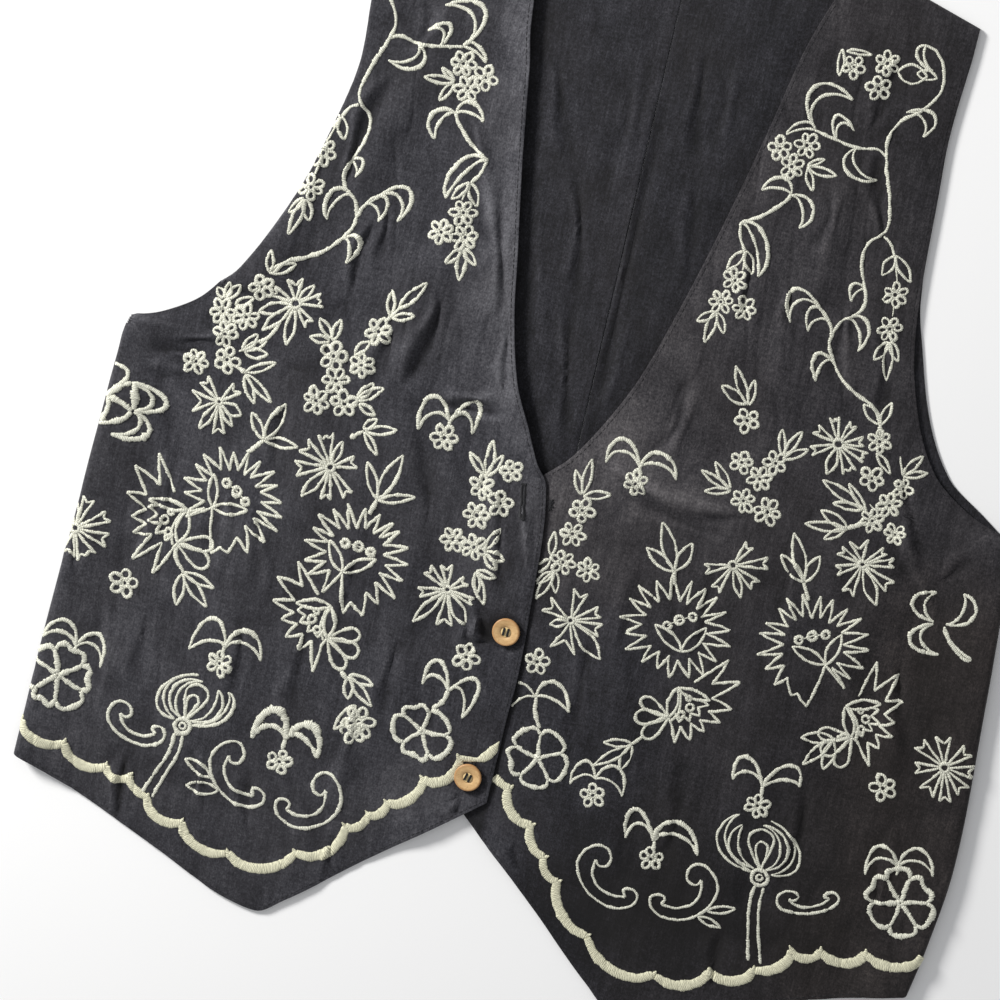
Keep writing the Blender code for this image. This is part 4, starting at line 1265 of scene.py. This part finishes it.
RIGHT_LEAVES = (
    (140, -207, 156.5, -200.5, 7.2), (134.5, -213.5, 153.5, -215.3, 7.4), (149, -16.5, 141.5, 5, 6.6),
    (149, -17, 130, -16, 5.4), (149.5, -17, 159, -4, 5.6), (82.5, -33, 73.5, -6, 8),
    (82, -33.5, 62.5, -26.5, 5.6), (83, -33, 92, -14.5, 6.4), (28, -6, 28.5, 13.5, 5.2),
    (27.5, -6, 21.5, 7, 4.4), (29, -6, 39.5, 4, 4.4), (20, -45, 14.5, -31.5, 4.8),
    (19.5, -46, 8.5, -48, 4.8), (19.5, -47, 12, -54, 4.6), (22, -57, 11, -58, 4.6), (22, -58, 14, -74, 5.4),
    (22, -58, 19, -69.5, 4.6), (178, -99, 159.5, -103, 5.6), (178, -100, 161.5, -114.5, 6),
    (178.5, -100, 178.5, -118, 6), (97, 1, 79.5, 6, 5.2), (98, 2, 91.5, 9, 4.8), (97, 0.5, 87.5, -10, 4.4),
    (95, 69, 84, 86, 5.4), (98.5, 64, 101, 78, 5.4), (97, 63.5, 85.5, 67.8, 4.6),
    (105.5, 48.5, 112, 39.5, 5), (125, 44, 123.5, 56, 5), (126, 45, 135, 54, 5.2),
    (126.5, 43.5, 137.5, 43, 4.4), (104.5, 16, 92, 26, 5.4), (104.5, 17, 98, 27, 5.2),
    (103, 14.5, 93, 10.5, 4.4), (167, 71.5, 154.5, 79, 6), (167, 71.5, 169, 83.5, 4.6),
    (186.5, 52, 180, 61.5, 5.2), (187, 52, 186, 61.5, 4.6), (188, 52, 193, 57, 4.6),
    (181, 50, 172, 56, 4.6), (171.5, 27.5, 165, 37.5, 5.2), (171, 27, 159.5, 35.5, 4.6),
    (170, 26, 157, 28.5, 5.4), (167, 16, 151.5, 25, 4.8), (166, 15, 149.5, 3.5, 5.6),
    (167, 14.5, 158.5, 0.5, 5), (70, -146, 79, -162.5, 6.4),
)
FLOWERS = (  # out, y, size, petals
    (108.5, 243.5, 0.85, 5), (124.5, 249, 0.95, 6), (123, 236, 0.95, 5), (82, 195.5, 0.92, 5),
    (95, 200, 0.98, 6), (90, 188, 0.95, 6), (75.5, 125, 0.95, 6), (71, 112.5, 0.96, 6),
    (83.5, 112, 0.95, 6), (156.5, 137, 0.95, 6), (158, 119.5, 0.96, 6),
)
LEFT_FLOWERS = (
    (50, 10, 0.98, 6), (25.5, -11.5, 0.98, 5), (23.5, -25, 1, 6), (22, -41, 1, 6), (36, -42, 0.95, 6),
    (20.6, -97, 1.02, 5), (213, -115, 1.05, 5), (152, -142, 0.98, 6), (104, -186, 0.95, 5),
    (98.5, 56, 1, 5), (167, 62, 0.95, 6), (168, 42.5, 0.95, 5), (184.5, 41, 0.78, 5), (180, 31, 0.95, 6),
    (173.5, 21, 0.92, 6), (186.5, 17, 0.85, 6), (118, 38, 0.92, 5), (112, 28, 0.95, 6), (101, 34, 0.92, 5),
    (106.5, 14.5, 0.95, 6), (120, 12, 1.08, 6), (66, -160, 1.02, 5),
)
RIGHT_FLOWERS = (
    (15, 0, 0.85, 5), (29, -12.5, 0.95, 6), (17.5, -18.5, 0.95, 5), (28.5, -28, 1, 6), (26, -45, 1, 6),
    (38, -44, 0.95, 6), (54.5, 8, 1.05, 6), (17, -104, 1.05, 5), (148, -143, 1, 6), (104.5, -188, 0.98, 5),
    (209, -113, 1.08, 5), (102.5, 54.5, 1, 6), (106.5, 35, 0.95, 6), (122.5, 36, 1.08, 5),
    (118, 23.5, 0.98, 6), (111, 12.5, 1, 5), (126, 10.5, 1, 6), (169, 63, 0.92, 5), (173.5, 45, 0.98, 6),
    (186.5, 45, 0.98, 6), (182.5, 33.5, 0.95, 6), (178, 20, 1, 5), (194.5, 15, 0.95, 6),
    (66.5, -155, 1.25, 6), (68.5, -160.5, 0.95, 5),
)
CRESCENTS = (  # foot, outer peak, inner peak, tip, thickness
    (139.5, 227.5, 153.5, 229, 148.5, 226, 150.5, 217.5, 1.6),
    (109, 205.5, 105.8, 218, 109, 214.5, 116.5, 212.5, 1.6),
    (120, 205, 117, 192.5, 121.3, 195.5, 133.5, 191, 1.6), (97, 209, 91.5, 229.5, 95, 224, 112, 227.5, 1.8),
    (97, 208.5, 90, 211, 90.5, 207.5, 83.5, 203, 1.6),
    (141.5, 262, 137.8, 256, 142, 255, 147.5, 250.5, 1.6), (93, 174, 86.5, 181.5, 86.5, 176, 78, 173, 1.7),
    (93, 174, 105.5, 170.5, 100, 169, 101, 158.5, 1.8), (71.5, 154, 86, 149, 80.5, 146.5, 86.5, 129.5, 1.9),
    (121, 121.5, 105.5, 127.5, 109.5, 122.5, 108, 110.5, 1.8),
    (127.5, 116, 117, 121, 120.5, 115, 118, 108.5, 1.6), (136, 119.5, 147, 119, 143, 115, 145, 104.5, 1.8),
    (141, 136, 134.3, 137, 137, 133.5, 136, 128.5, 1.5), (134, 96, 124.5, 97.5, 129, 94, 128, 84.5, 1.7),
    (231, -155, 219, -146, 220.5, -152.5, 215.5, -163, 1.7),
    (231, -155, 239, -141.8, 239.5, -148.5, 249.5, -154, 1.7),
)
LEFT_CRESCENTS = (
    (50, 18, 38, 31, 39.5, 24.5, 32, 16.5, 1.8), (50, 18, 59.5, 28.5, 60, 22.5, 70, 16.5, 1.8),
    (24, -116, 33, -105.5, 33, -114.5, 43, -119.5, 2), (24, -116, 8.5, -113, 14.5, -121, 11, -133, 1.4),
    (152, -131, 140, -117.5, 143.5, -125, 136, -131.5, 1.9),
    (152, -131, 163.5, -116.3, 163, -124.5, 170.5, -126.5, 2),
    (103, -176, 90, -161.5, 94, -168.5, 88, -178.5, 2),
    (103, -176, 113.5, -162.5, 114.5, -169.5, 127.5, -177.5, 2.2),
    (217, -22.5, 203.5, -15.5, 210.5, -15.5, 214.5, -7, 1.8),
    (217, -23.5, 207, -35, 212.5, -33, 223.5, -38.5, 1.9), (223, -22, 236, -14, 229.5, -14.5, 228, -4, 1.8),
    (223, -23.5, 232, -34.5, 228, -30.5, 240, -36, 1.9),
    (65, -151, 57, -143, 58.5, -150.5, 52.5, -157.5, 1.5),
    (65, -151, 75.5, -141.5, 74, -150, 81, -156.5, 1.6),
)
RIGHT_CRESCENTS = (
    (53.5, 17, 42, 31, 46, 23.5, 40.5, 13.5, 1.8), (53.5, 17, 66, 28, 63, 19.5, 69, 9, 1.8),
    (22.5, -125, 8, -115.5, 15, -123, 12, -137.5, 1.7), (22.5, -125, 31.5, -110, 31, -118.5, 37, -125, 1.8),
    (147, -134, 136, -121.5, 137, -128.5, 126.5, -136, 1.8),
    (147, -134, 157, -119.5, 155, -131.5, 166.5, -140, 1.7),
    (104, -175, 91, -164, 96, -171, 85, -180.5, 2.9),
    (104, -175, 113, -160, 113.5, -169.5, 122.5, -179, 2.8),
    (221.5, -18.5, 205.5, -10.5, 213, -10.5, 225.5, -3.5, 2.1),
    (221.5, -19, 212.5, -30, 218.5, -28, 231.5, -33.8, 2.1),
)
LEFT_STARS = (  # out, y, eye, then each petal's angle, length, width and teeth
    (147, 55.5, 2.6, (112, 14.4, 4.8, 3), (68, 13.2, 4.2, 2), (20, 13.2, 5, 2), (-13, 15.8, 5.6, 3),
     (-55, 16, 7, 3), (-96, 17, 5, 1), (208, 14.7, 5, 2), (160, 14.3, 5.2, 2)),
    (174, -2.5, 1.8, (112, 12.8, 10, 2), (45, 14.2, 4, 2), (17, 16.5, 4.8, 2), (-25, 18.5, 6.8, 2),
     (-57.5, 22.6, 6, 1), (-102, 17.4, 6.6, 2), (207, 14, 5.2, 2), (161, 14, 4.8, 2)),
    (109.3, -19.5, 2.2, (65, 14, 5.2, 2), (17, 18.3, 6, 2), (-29, 16, 6.6, 2), (-64, 18.2, 4, 1),
     (249, 17, 5, 2), (203.5, 15.3, 5.4, 2)),
    (241, -95.5, 2.4, (106, 16.5, 8, 2), (151, 18, 7, 2), (197, 15.5, 6, 2), (250, 17, 8.5, 2),
     (-75, 18.5, 6, 2), (-38, 16, 7, 2), (5, 15.5, 7, 2), (52, 15.5, 7, 2)),
    (33, -70.5, 1.8, (84, 17, 8, 2), (31, 16.5, 6.2, 2), (-4, 17, 7.5, 2), (-39, 26, 8, 1),
     (-92, 17.5, 14, 2), (206, 12, 3.6, 1), (160, 15.8, 9, 2)),
)
RIGHT_STARS = (
    (149.5, 58.3, 2.6, (75, 13.5, 8.2, 2), (122, 14, 3.6, 1), (159, 14.6, 7.6, 3), (222, 13.7, 5.6, 2),
     (268, 22.7, 5, 1), (-52, 23, 5, 1), (-26, 20.5, 5.6, 1), (17, 14.2, 5.8, 2)),
    (177.5, -3, 1.6, (130, 12.8, 6.6, 2), (43, 14.6, 6.6, 2), (-11, 15, 11.5, 2), (-65, 18.5, 4.2, 1),
     (-100, 17.4, 6.6, 2), (230, 15, 3.2, 1), (198, 14, 6, 1)),
    (111, -22.5, 2.2, (70, 18.2, 8.4, 3), (27, 18.6, 8.4, 2), (-15, 19, 8.2, 2), (-57.5, 22.5, 5, 1),
     (266, 17.8, 5.6, 2), (225, 18, 6, 2), (155, 14.4, 6.6, 2), (103, 15.5, 3.6, 1)),
    (241, -89.5, 2.2, (104, 19, 6.2, 2), (78, 16, 4, 1), (147, 20, 6.2, 2), (187, 19, 7.6, 2),
     (236, 17, 11, 3), (275, 16, 8.5, 2), (-38, 16, 7, 2), (4, 16, 7, 2), (42, 16, 7, 2)),
    (35, -71.3, 1.9, (76, 13.6, 6.6, 2), (33, 15.6, 6.2, 2), (-19, 15.8, 5.6, 2), (-55.5, 26, 5, 1),
     (263, 19.8, 8.6, 2), (229, 21.5, 6.5, 1), (190, 15.5, 4, 2), (140, 11.8, 5.2, 2)),
)
LEFT_DAHLIAS = (  # out, y, radius, turn, whether its stem crosses it, and how far its rings turn and slide
    (159.5, -49, 28.2, 20), (88.3, -59.5, 28.5, 2, False, 26, 2.8),
)
RIGHT_DAHLIAS = ((160, -51, 28.2, 25), (87.5, -64, 28.5, 0))
LEFT_BRACTS = (  # out, y, turn, size, how many loops, and how far its teeth reach
    (94.7, -105.5, 2, 0.95, 3, (34.5, 35, 30.5, 24, 23, 21.5, 28.5)), (189, -91.5, 29, 0.95),
)
RIGHT_BRACTS = ((92.5, -111.5, 0, 1), (183.6, -81.5, 10, 1.1, 2, (32, 33.5, 28.5, 24.2, 23.1, 30.8, 26.9)))
ROSETTES = (  # out, y, radius, petals, turn, thickness
    (32.5, -148.5, 16.3, 5, 27, 2.15), (237, -173, 17.5, 6, 20, 2.4),
)
SCROLLS = ((84, -203, -34, 19.5, 1), (125.5, -200, 42, 19.5, -1))  # out, y, turn, size, flip, flatness
LEFT_SCROLLS = ((190, -185.5, 21, 16.5, 1, 0.62),)
RIGHT_SCROLLS = ((187, -189, 12, 17, -1, 0.86),)
# out, y, size and thickness of a bud, and its outermost crescent
LEFT_LOTUS = ((162.3, -180, 1, 1.25, (-4.5, 1.6, -26.8, 15, -22.8, 16.6, -18.3, 31.2)),)
RIGHT_LOTUS = ((162.3, -180, 0.95, 1.4, (-4.5, 1.6, -26.4, 13.8, -22.6, 14.2, -20.8, 26)),)

# How far the right front's stitching sits from the left's.
MOVED = (  # out, y, by_out, by_y
    (80, -31, 2.5, -3), (87, -62, 0.5, -4.5), (109, -19, 3, -3), (33, -70, 2, -1), (159, -53, 1, 0.5),
    (173, -2, 5, -1), (147, -20, 3, 3), (200, -75, 0, 4), (213, -115, -4, 2), (220, -20, 4.5, 6),
    (240, -95, -1, 6), (152, -131, -5, -3), (162, -175, -1, -3), (231, -155, -3, 1), (127, -203, -0.5, -3),
    (82, -203, 0.5, -5), (190, -188, -2, -5), (103, -176, 1, 1), (24, -4, 3.5, -3.5), (25, -25, 4, -2),
    (22, -41, 4, -1), (18, -97, -1.5, -7), (24, -117, -1.5, -7), (33, -149, -1, -2), (50, 14, 3.5, -0.5),
    (66, -158, 0, 3), (103, -105, 0, -6), (80, -130, -4, -5), (187, 25, 5, -1), (100, 18, 3.5, -3),
    (93, 174, 0, 1), (71, 154, 0, 1), (77, 120, 2.5, 1), (142, 165, 0, 4.5), (110, 118, 3, 4),
    (130, 100, 1, 1), (165, -222, 4, 0),
)

# The scalloped border: its cusps from the front edge outwards, then how far each scallop hangs.
RIGHT_BORDER = (  # out, y, sag
    (-10.6, -144.6, 0), (10.2, -157.6, 4), (27, -175, 6), (43.5, -193.5, 4.5), (52.5, -202.5, 3),
    (63.5, -213, 3.5), (87, -235, 7.5), (123.5, -245, 8.5), (151, -234.5, 6.5), (173, -226, 6),
    (184.5, -217, 2.5), (199.5, -215, 4.5), (224.5, -207.5, 6.5), (250, -200, 6),
)
LEFT_BORDER = (
    (8, -158.5, 0), (23, -166.8, 1.5), (39.5, -184, 6), (50, -200, 4), (60, -211, 3.5), (82, -236.5, 6.5),
    (121, -247, 9), (148, -236.5, 6.5), (171, -229, 5.5), (187, -213, 4.5), (203, -209, 4.5),
    (226, -203, 6), (256, -194, 7),
)


def border(needle, rows):
    """Wide satin scallops, each with an upright point at its end. The first tapers to the front edge."""
    for i, ((out, y, _), (far_out, far_y, sag)) in enumerate(zip(rows, rows[1:])):
        a, b = np.array((out, y)), np.array((far_out, far_y))
        length = np.linalg.norm(b - a)
        run = (b - a) / length
        down = np.array((run[1], -run[0]))
        full = 5.6 if length > 20 else 5.0
        lower = down * (full / 2 - 0.3)
        line = [
            a - run * 0.8 + lower,
            a + run * 0.2 * length + down * 0.72 * sag + lower,
            (a + b) / 2 + down * sag + lower,
            a + run * 0.8 * length + down * 0.72 * sag + lower,
            b - run * 0.6 + lower,
        ]
        width = [0.80 * full, full, 1.05 * full, full, 0.92 * full]
        if i == 0 and needle.front is RIGHT:
            line = [a, a + (3.2, -7.0), a + (7.6, -12.0), a + (12.2, -13.6), b - (3.4, 1.6), b - (0.2, 2.0)]
            width = [0.4, 4.9, 6.0, 2.4, 3.6, 4.4]
        needle.stitch(line, width, (0.9, 0.9), 0.65, ragged=0.06, high=0.75, section=Needle.WIDE, raw=True)
        peak = b - run * 0.1 - down * needle.chance.uniform(0.3, 1.0)
        line = [b - run * 1.6 + 1.7 * lower, b - run * 0.4 + 0.9 * lower, peak]
        width = [0.7 * full, 0.55 * full, 0.8]
        needle.stitch(line, width, (0.95, 0.8), 0.5, ragged=0.1, high=0.74, section=Needle.WIDE, raw=True)


SHARED = (  # how each kind is made, and its rows, which both fronts have
    (stem, STEMS), (leaf, LEAVES), (flower, FLOWERS), (crescent, CRESCENTS),
    (rosette, ROSETTES), (scroll, SCROLLS),
)
OWN = (  # how each kind is made, and the rows that only the left front or only the right one has
    (stem, LEFT_STEMS, RIGHT_STEMS), (leaf, LEFT_LEAVES, RIGHT_LEAVES),
    (flower, LEFT_FLOWERS, RIGHT_FLOWERS), (crescent, LEFT_CRESCENTS, RIGHT_CRESCENTS),
    (star, LEFT_STARS, RIGHT_STARS), (dahlia, LEFT_DAHLIAS, RIGHT_DAHLIAS),
    (bract, LEFT_BRACTS, RIGHT_BRACTS), (scroll, LEFT_SCROLLS, RIGHT_SCROLLS),
)


def embroider(front):
    """All of a front's cream thread. What both fronts have is moved a little on the right one."""
    right = front is RIGHT
    if right:
        needle = Needle(front, seed=11, bold=1.34, full=1.15, moved=MOVED)
    else:
        needle = Needle(front, seed=29, bold=1.11, full=1.07)
    needle.stitch(VINE, VINE_WIDTHS)
    for make, rows in (*SHARED, (lotus, RIGHT_LOTUS if right else LEFT_LOTUS)):
        for row in rows:
            make(needle, *row)
    needle.moved = ()
    for make, left_rows, right_rows in OWN:
        for row in right_rows if right else left_rows:
            make(needle, *row)
    border(needle, RIGHT_BORDER if right else LEFT_BORDER)
    return needle.done(front.name + "_embroidery", CREAM, "thread")


# ---------------------------------------------------------------- edges and fastenings

FRONT_INSET, ARMHOLE_INSET = 1.8, 2.2  # how far in from an edge the topstitching runs
BUTTONHOLES = ((7.5, -5.4), (1.4, -157.5))  # out, and y of the upper end
FINE_ROW = ((7.5, -4.4), (-4.0, -6.0))  # from the upper buttonhole to the front edge
TUFT = (  # the strands left of the top button's thread: out, y
    ((8.2, -16.0), (9.0, -13.0), (8.0, -10.2)), ((7.6, -14.8), (8.8, -12.6), (10.0, -10.4)),
    ((9.6, -15.6), (8.6, -13.2), (7.6, -11.0)), ((8.8, -13.0), (9.6, -13.6), (10.6, -13.2)),
    ((8.6, -12.4), (8.9, -10.4), (9.4, -9.4)),
)


def topstitch(needle, line, inset, long=2.1, gap=0.9):
    """A row of machine stitches beside an edge: `line` runs along it, and the stitches lie to its left."""
    line = through(line, 1.0)
    line = line + leftwards(line) * inset
    gone = travelled(line)
    for start in np.arange(0.5, gone[-1] - long, long + gap):
        at = start + np.linspace(0, long, 4)
        points = np.stack([np.interp(at, gone, line[:, k]) for k in (0, 1)], -1)
        needle.stitch(points, 0.5, (0.5, 0.5), step=0.7, ragged=0.0, high=0.16, raw=True)


def buttonhole(needle, out, top, long=18.0, lean=-0.18):
    """Two close rows of dark buttonhole stitch, barred at both ends."""
    for side in (-1, 1):
        line = [(out + side * 0.8 + lean * k, top - k) for k in (0.4, 0.5 * long, long - 0.4)]
        needle.stitch(line, 1.5, (0.8, 0.8), step=0.5, ragged=0.2, high=0.36, raw=True)
    for k in (0.0, long):
        line = [(out + lean * k + across, top - k) for across in (-1.5, 0.0, 1.5)]
        needle.stitch(line, 1.3, (0.8, 0.8), step=0.5, high=0.42, raw=True)


def sew_edges(front):
    """A front's dark thread: its topstitching, and its buttonholes or the tuft of a lost button."""
    right = front is RIGHT
    needle = Needle(front, seed=5 if right else 6, bold=1.0, full=1.0)
    rows = np.array(spaced(SIDE_CORNER, (0.0, 30), (292.0, 80)))
    hem = np.linspace(0.004, 0.90, 60)
    up = np.linspace(44.0, 250.0, 40)
    for edge, inset in (
        (front.cut(np.zeros(len(rows)), rows), -FRONT_INSET),
        (front.cut(hem, np.full(len(hem), SIDE_CORNER)), FRONT_INSET),
        ((front.cut_edge(up), up), ARMHOLE_INSET),
    ):
        topstitch(needle, np.stack(edge, -1), inset)
    if right:
        for out, top in BUTTONHOLES:
            buttonhole(needle, out, top)
        topstitch(needle, FINE_ROW, 0.0, 1.1, 0.6)
    else:
        for strand in TUFT:
            needle.stitch(strand, 0.95, ragged=0.1, high=0.5, step=0.6, raw=True)
    return needle.done(front.name + "_topstitching", BLACK, "thread")


BUTTON_FACE = (  # radius, and how far under the top: a round middle, a groove, a dish and a rim
    (0, 0.42), (2.45, 0.44), (2.7, 0.62), (2.95, 0.62), (3.2, 0.4), (5, 0.3), (6.2, 0.08), (6.8, 0),
    (7.2, 0.12), (7.42, 0.45), (BUTTON_RADIUS, 1),
)
BUTTON_UNDERSIDE = ((7.35, 0.75), (6.9, 0.25), (6.2, 0), (0, 0))  # radius, height
HOLE_RADIUS, HOLE_ACROSS, HOLE_ALONG = 0.75, 1.15, 1.6
STRANDS, STRAND_RADIUS = (-0.30, 0.30), 0.32
STRAND = (  # along the button, and over its top
    (-1.7, -1.5), (-1.75, -0.4), (-1, -0.05), (0, 0), (1, -0.05), (1.75, -0.4), (1.7, -1.5),
)


def button_shell(name, thickness):
    """A rounded rim, a dish and four holes: a ring of points takes the outline, is opened and turned."""
    outline = [(radius * MM, thickness - under * MM) for radius, under in BUTTON_FACE]
    outline += [(radius * MM, height * MM) for radius, height in BUTTON_UNDERSIDE]
    alone()
    bpy.ops.mesh.primitive_circle_add(vertices=len(outline), radius=BUTTON_RADIUS * MM, calc_uvs=False)
    shell = bpy.context.object
    shell.name = shell.data.name = name + "_shell"
    mesh = shell.data
    for vertex, (radius, height) in zip(mesh.vertices, outline):
        vertex.co = (radius, 0.0, height)
    for edge in mesh.edges:
        edge.select = False
    for vertex in mesh.vertices:
        vertex.select = vertex.index in (0, len(outline) - 1)
    bpy.ops.object.mode_set(mode="EDIT")
    bpy.ops.mesh.delete(type="EDGE")
    bpy.ops.object.mode_set(mode="OBJECT")
    spun = shell.modifiers.new("turned", "SCREW")
    spun.steps = spun.render_steps = 96
    spun.use_merge_vertices, spun.merge_threshold, spun.use_smooth_shade = True, 0.00001, True
    bpy.ops.object.modifier_apply(modifier="turned")
    bpy.ops.object.mode_set(mode="EDIT")
    bpy.ops.mesh.select_all(action="SELECT")
    bpy.ops.mesh.normals_make_consistent(inside=False)
    bpy.ops.object.mode_set(mode="OBJECT")
    for across, along in ((-1, -1), (1, -1), (1, 1), (-1, 1)):
        alone()
        bpy.ops.mesh.primitive_cylinder_add(
            vertices=24, radius=HOLE_RADIUS * MM, depth=3 * thickness,
            location=(across * HOLE_ACROSS * MM, along * HOLE_ALONG * MM, 0.0),
        )
        drill = bpy.context.object
        alone(shell)
        hole = shell.modifiers.new("hole", "BOOLEAN")
        hole.object = drill
        bpy.ops.object.modifier_apply(modifier="hole")
        bpy.data.objects.remove(drill)
    soften(shell, 0.12 * MM, 50)
    bpy.ops.object.modifier_apply(modifier="soft_edge")
    bpy.ops.object.shade_smooth_by_angle(angle=math.radians(40))
    add_map(mesh, "face", [(math.hypot(v.co.x, v.co.y) / MM, 0.5) for v in mesh.vertices])
    return shell


def button_thread(name, thickness):
    """Two bars of thread, each of two strands that go down through a pair of holes."""
    curve = bpy.data.curves.new(name + "_thread", "CURVE")
    curve.dimensions, curve.use_fill_caps = "3D", True
    curve.bevel_depth, curve.bevel_resolution = STRAND_RADIUS * MM, 3
    for across in (-1, 1):
        for strand in STRANDS:
            line = curve.splines.new("POLY")
            line.points.add(len(STRAND) - 1)
            for point, (along, up) in zip(line.points, STRAND):
                point.co = ((across * HOLE_ACROSS + strand) * MM, along * MM, thickness + up * MM, 1.0)
    bars = bpy.data.objects.new(name + "_thread", curve)
    bpy.context.scene.collection.objects.link(bars)
    alone(bars)
    bpy.ops.object.convert(target="MESH")
    bpy.ops.object.shade_smooth()
    return bpy.context.object


def button(name, turn):
    """A turned shell button with its thread, where the frame has it."""
    low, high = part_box(name)
    thickness = high.z - low.z
    place = Matrix.Translation(((low.x + high.x) / 2, (low.y + high.y) / 2, low.z))
    place = place @ Matrix.Rotation(math.radians(turn), 4, "Z")
    shell = button_shell(name, thickness)
    shell.data.transform(place)
    finished(shell, COCONUT, "button", name)
    bars = button_thread(name, thickness)
    bars.data.transform(place)
    add_map(bars.data, "stitch", [(v.co.y / MM, v.co.x / MM) for v in bars.data.vertices])
    finished(bars, BLACK, "thread")


# ---------------------------------------------------------------- making it

right_cloth, right_area = front_panel(RIGHT)
left_cloth, left_area = front_panel(LEFT)
back_right_cloth, back_right_area = back_panel(-1, "back_right")
back_left_cloth, back_left_area = back_panel(1, "back_left")
right_threads = [embroider(RIGHT), sew_edges(RIGHT)]
left_threads = [embroider(LEFT), sew_edges(LEFT)]
for name, _, _, turn in BUTTONS:
    button(name, turn)

# ---------------------------------------------------------------- the studio

alone()
bpy.ops.mesh.primitive_plane_add(size=8.0, location=(0.0, 0.0, 0.0))
floor = bpy.context.object
floor.name = "floor"
paper = Finish("pale_floor", Base_Color=(0.96, 0.96, 0.96, 1.0), Roughness=0.9)
floor.data.materials.append(paper.material)

world = bpy.data.worlds.new("studio")
bpy.context.scene.world = world
world.use_nodes = True
sky = world.node_tree.nodes["Background"]
sky.inputs["Color"].default_value = (0.97, 0.98, 1.0, 1.0)
sky.inputs["Strength"].default_value = 0.44


def lamp(name, place, aim, size, power, colour):
    """A round lamp at a place, aimed at another."""
    light = bpy.data.lights.new(name, "AREA")
    light.shape, light.size, light.energy, light.color = "DISK", size, power, colour
    made = bpy.data.objects.new(name, light)
    made.location = place
    made.rotation_euler = (Vector(aim) - Vector(place)).to_track_quat("-Z", "Y").to_euler()
    bpy.context.scene.collection.objects.link(made)


lamp(
    "key", place=(-1.35, 0.75, 0.80), aim=(-0.05, 0.05, 0.0), size=0.45, power=39.5,
    colour=(1.0, 0.99, 0.97),
)

# The camera looks down at the chest, from a little towards the shoulders and the wearer's left.
ROLL_ANGLE, TILT = math.radians(13.603), math.radians(12.867)
FAR, ABOVE_FLOOR = 1.3676, 0.003
towards = Vector((0.555, 0.832, 0.0)).normalized()
tilt = Matrix.Rotation(TILT, 4, Vector((-towards.y, towards.x, 0.0)))
aim = Vector(origin) + Vector((0.0, 0.0, ABOVE_FLOOR))
lens = bpy.data.cameras.new("camera")
lens.sensor_width, lens.lens = 36.0, 93.6
lens.shift_x, lens.shift_y = -0.04046, -0.02247
lens.clip_start, lens.clip_end = 0.05, 20.0
camera = bpy.data.objects.new("camera", lens)
bpy.context.scene.collection.objects.link(camera)
place = Matrix.Translation(aim + (tilt @ Vector((0.0, 0.0, FAR))))
camera.matrix_world = place @ tilt @ Matrix.Rotation(ROLL_ANGLE, 4, "Z")
bpy.context.scene.camera = camera
bpy.context.scene.view_settings.view_transform = "Standard"
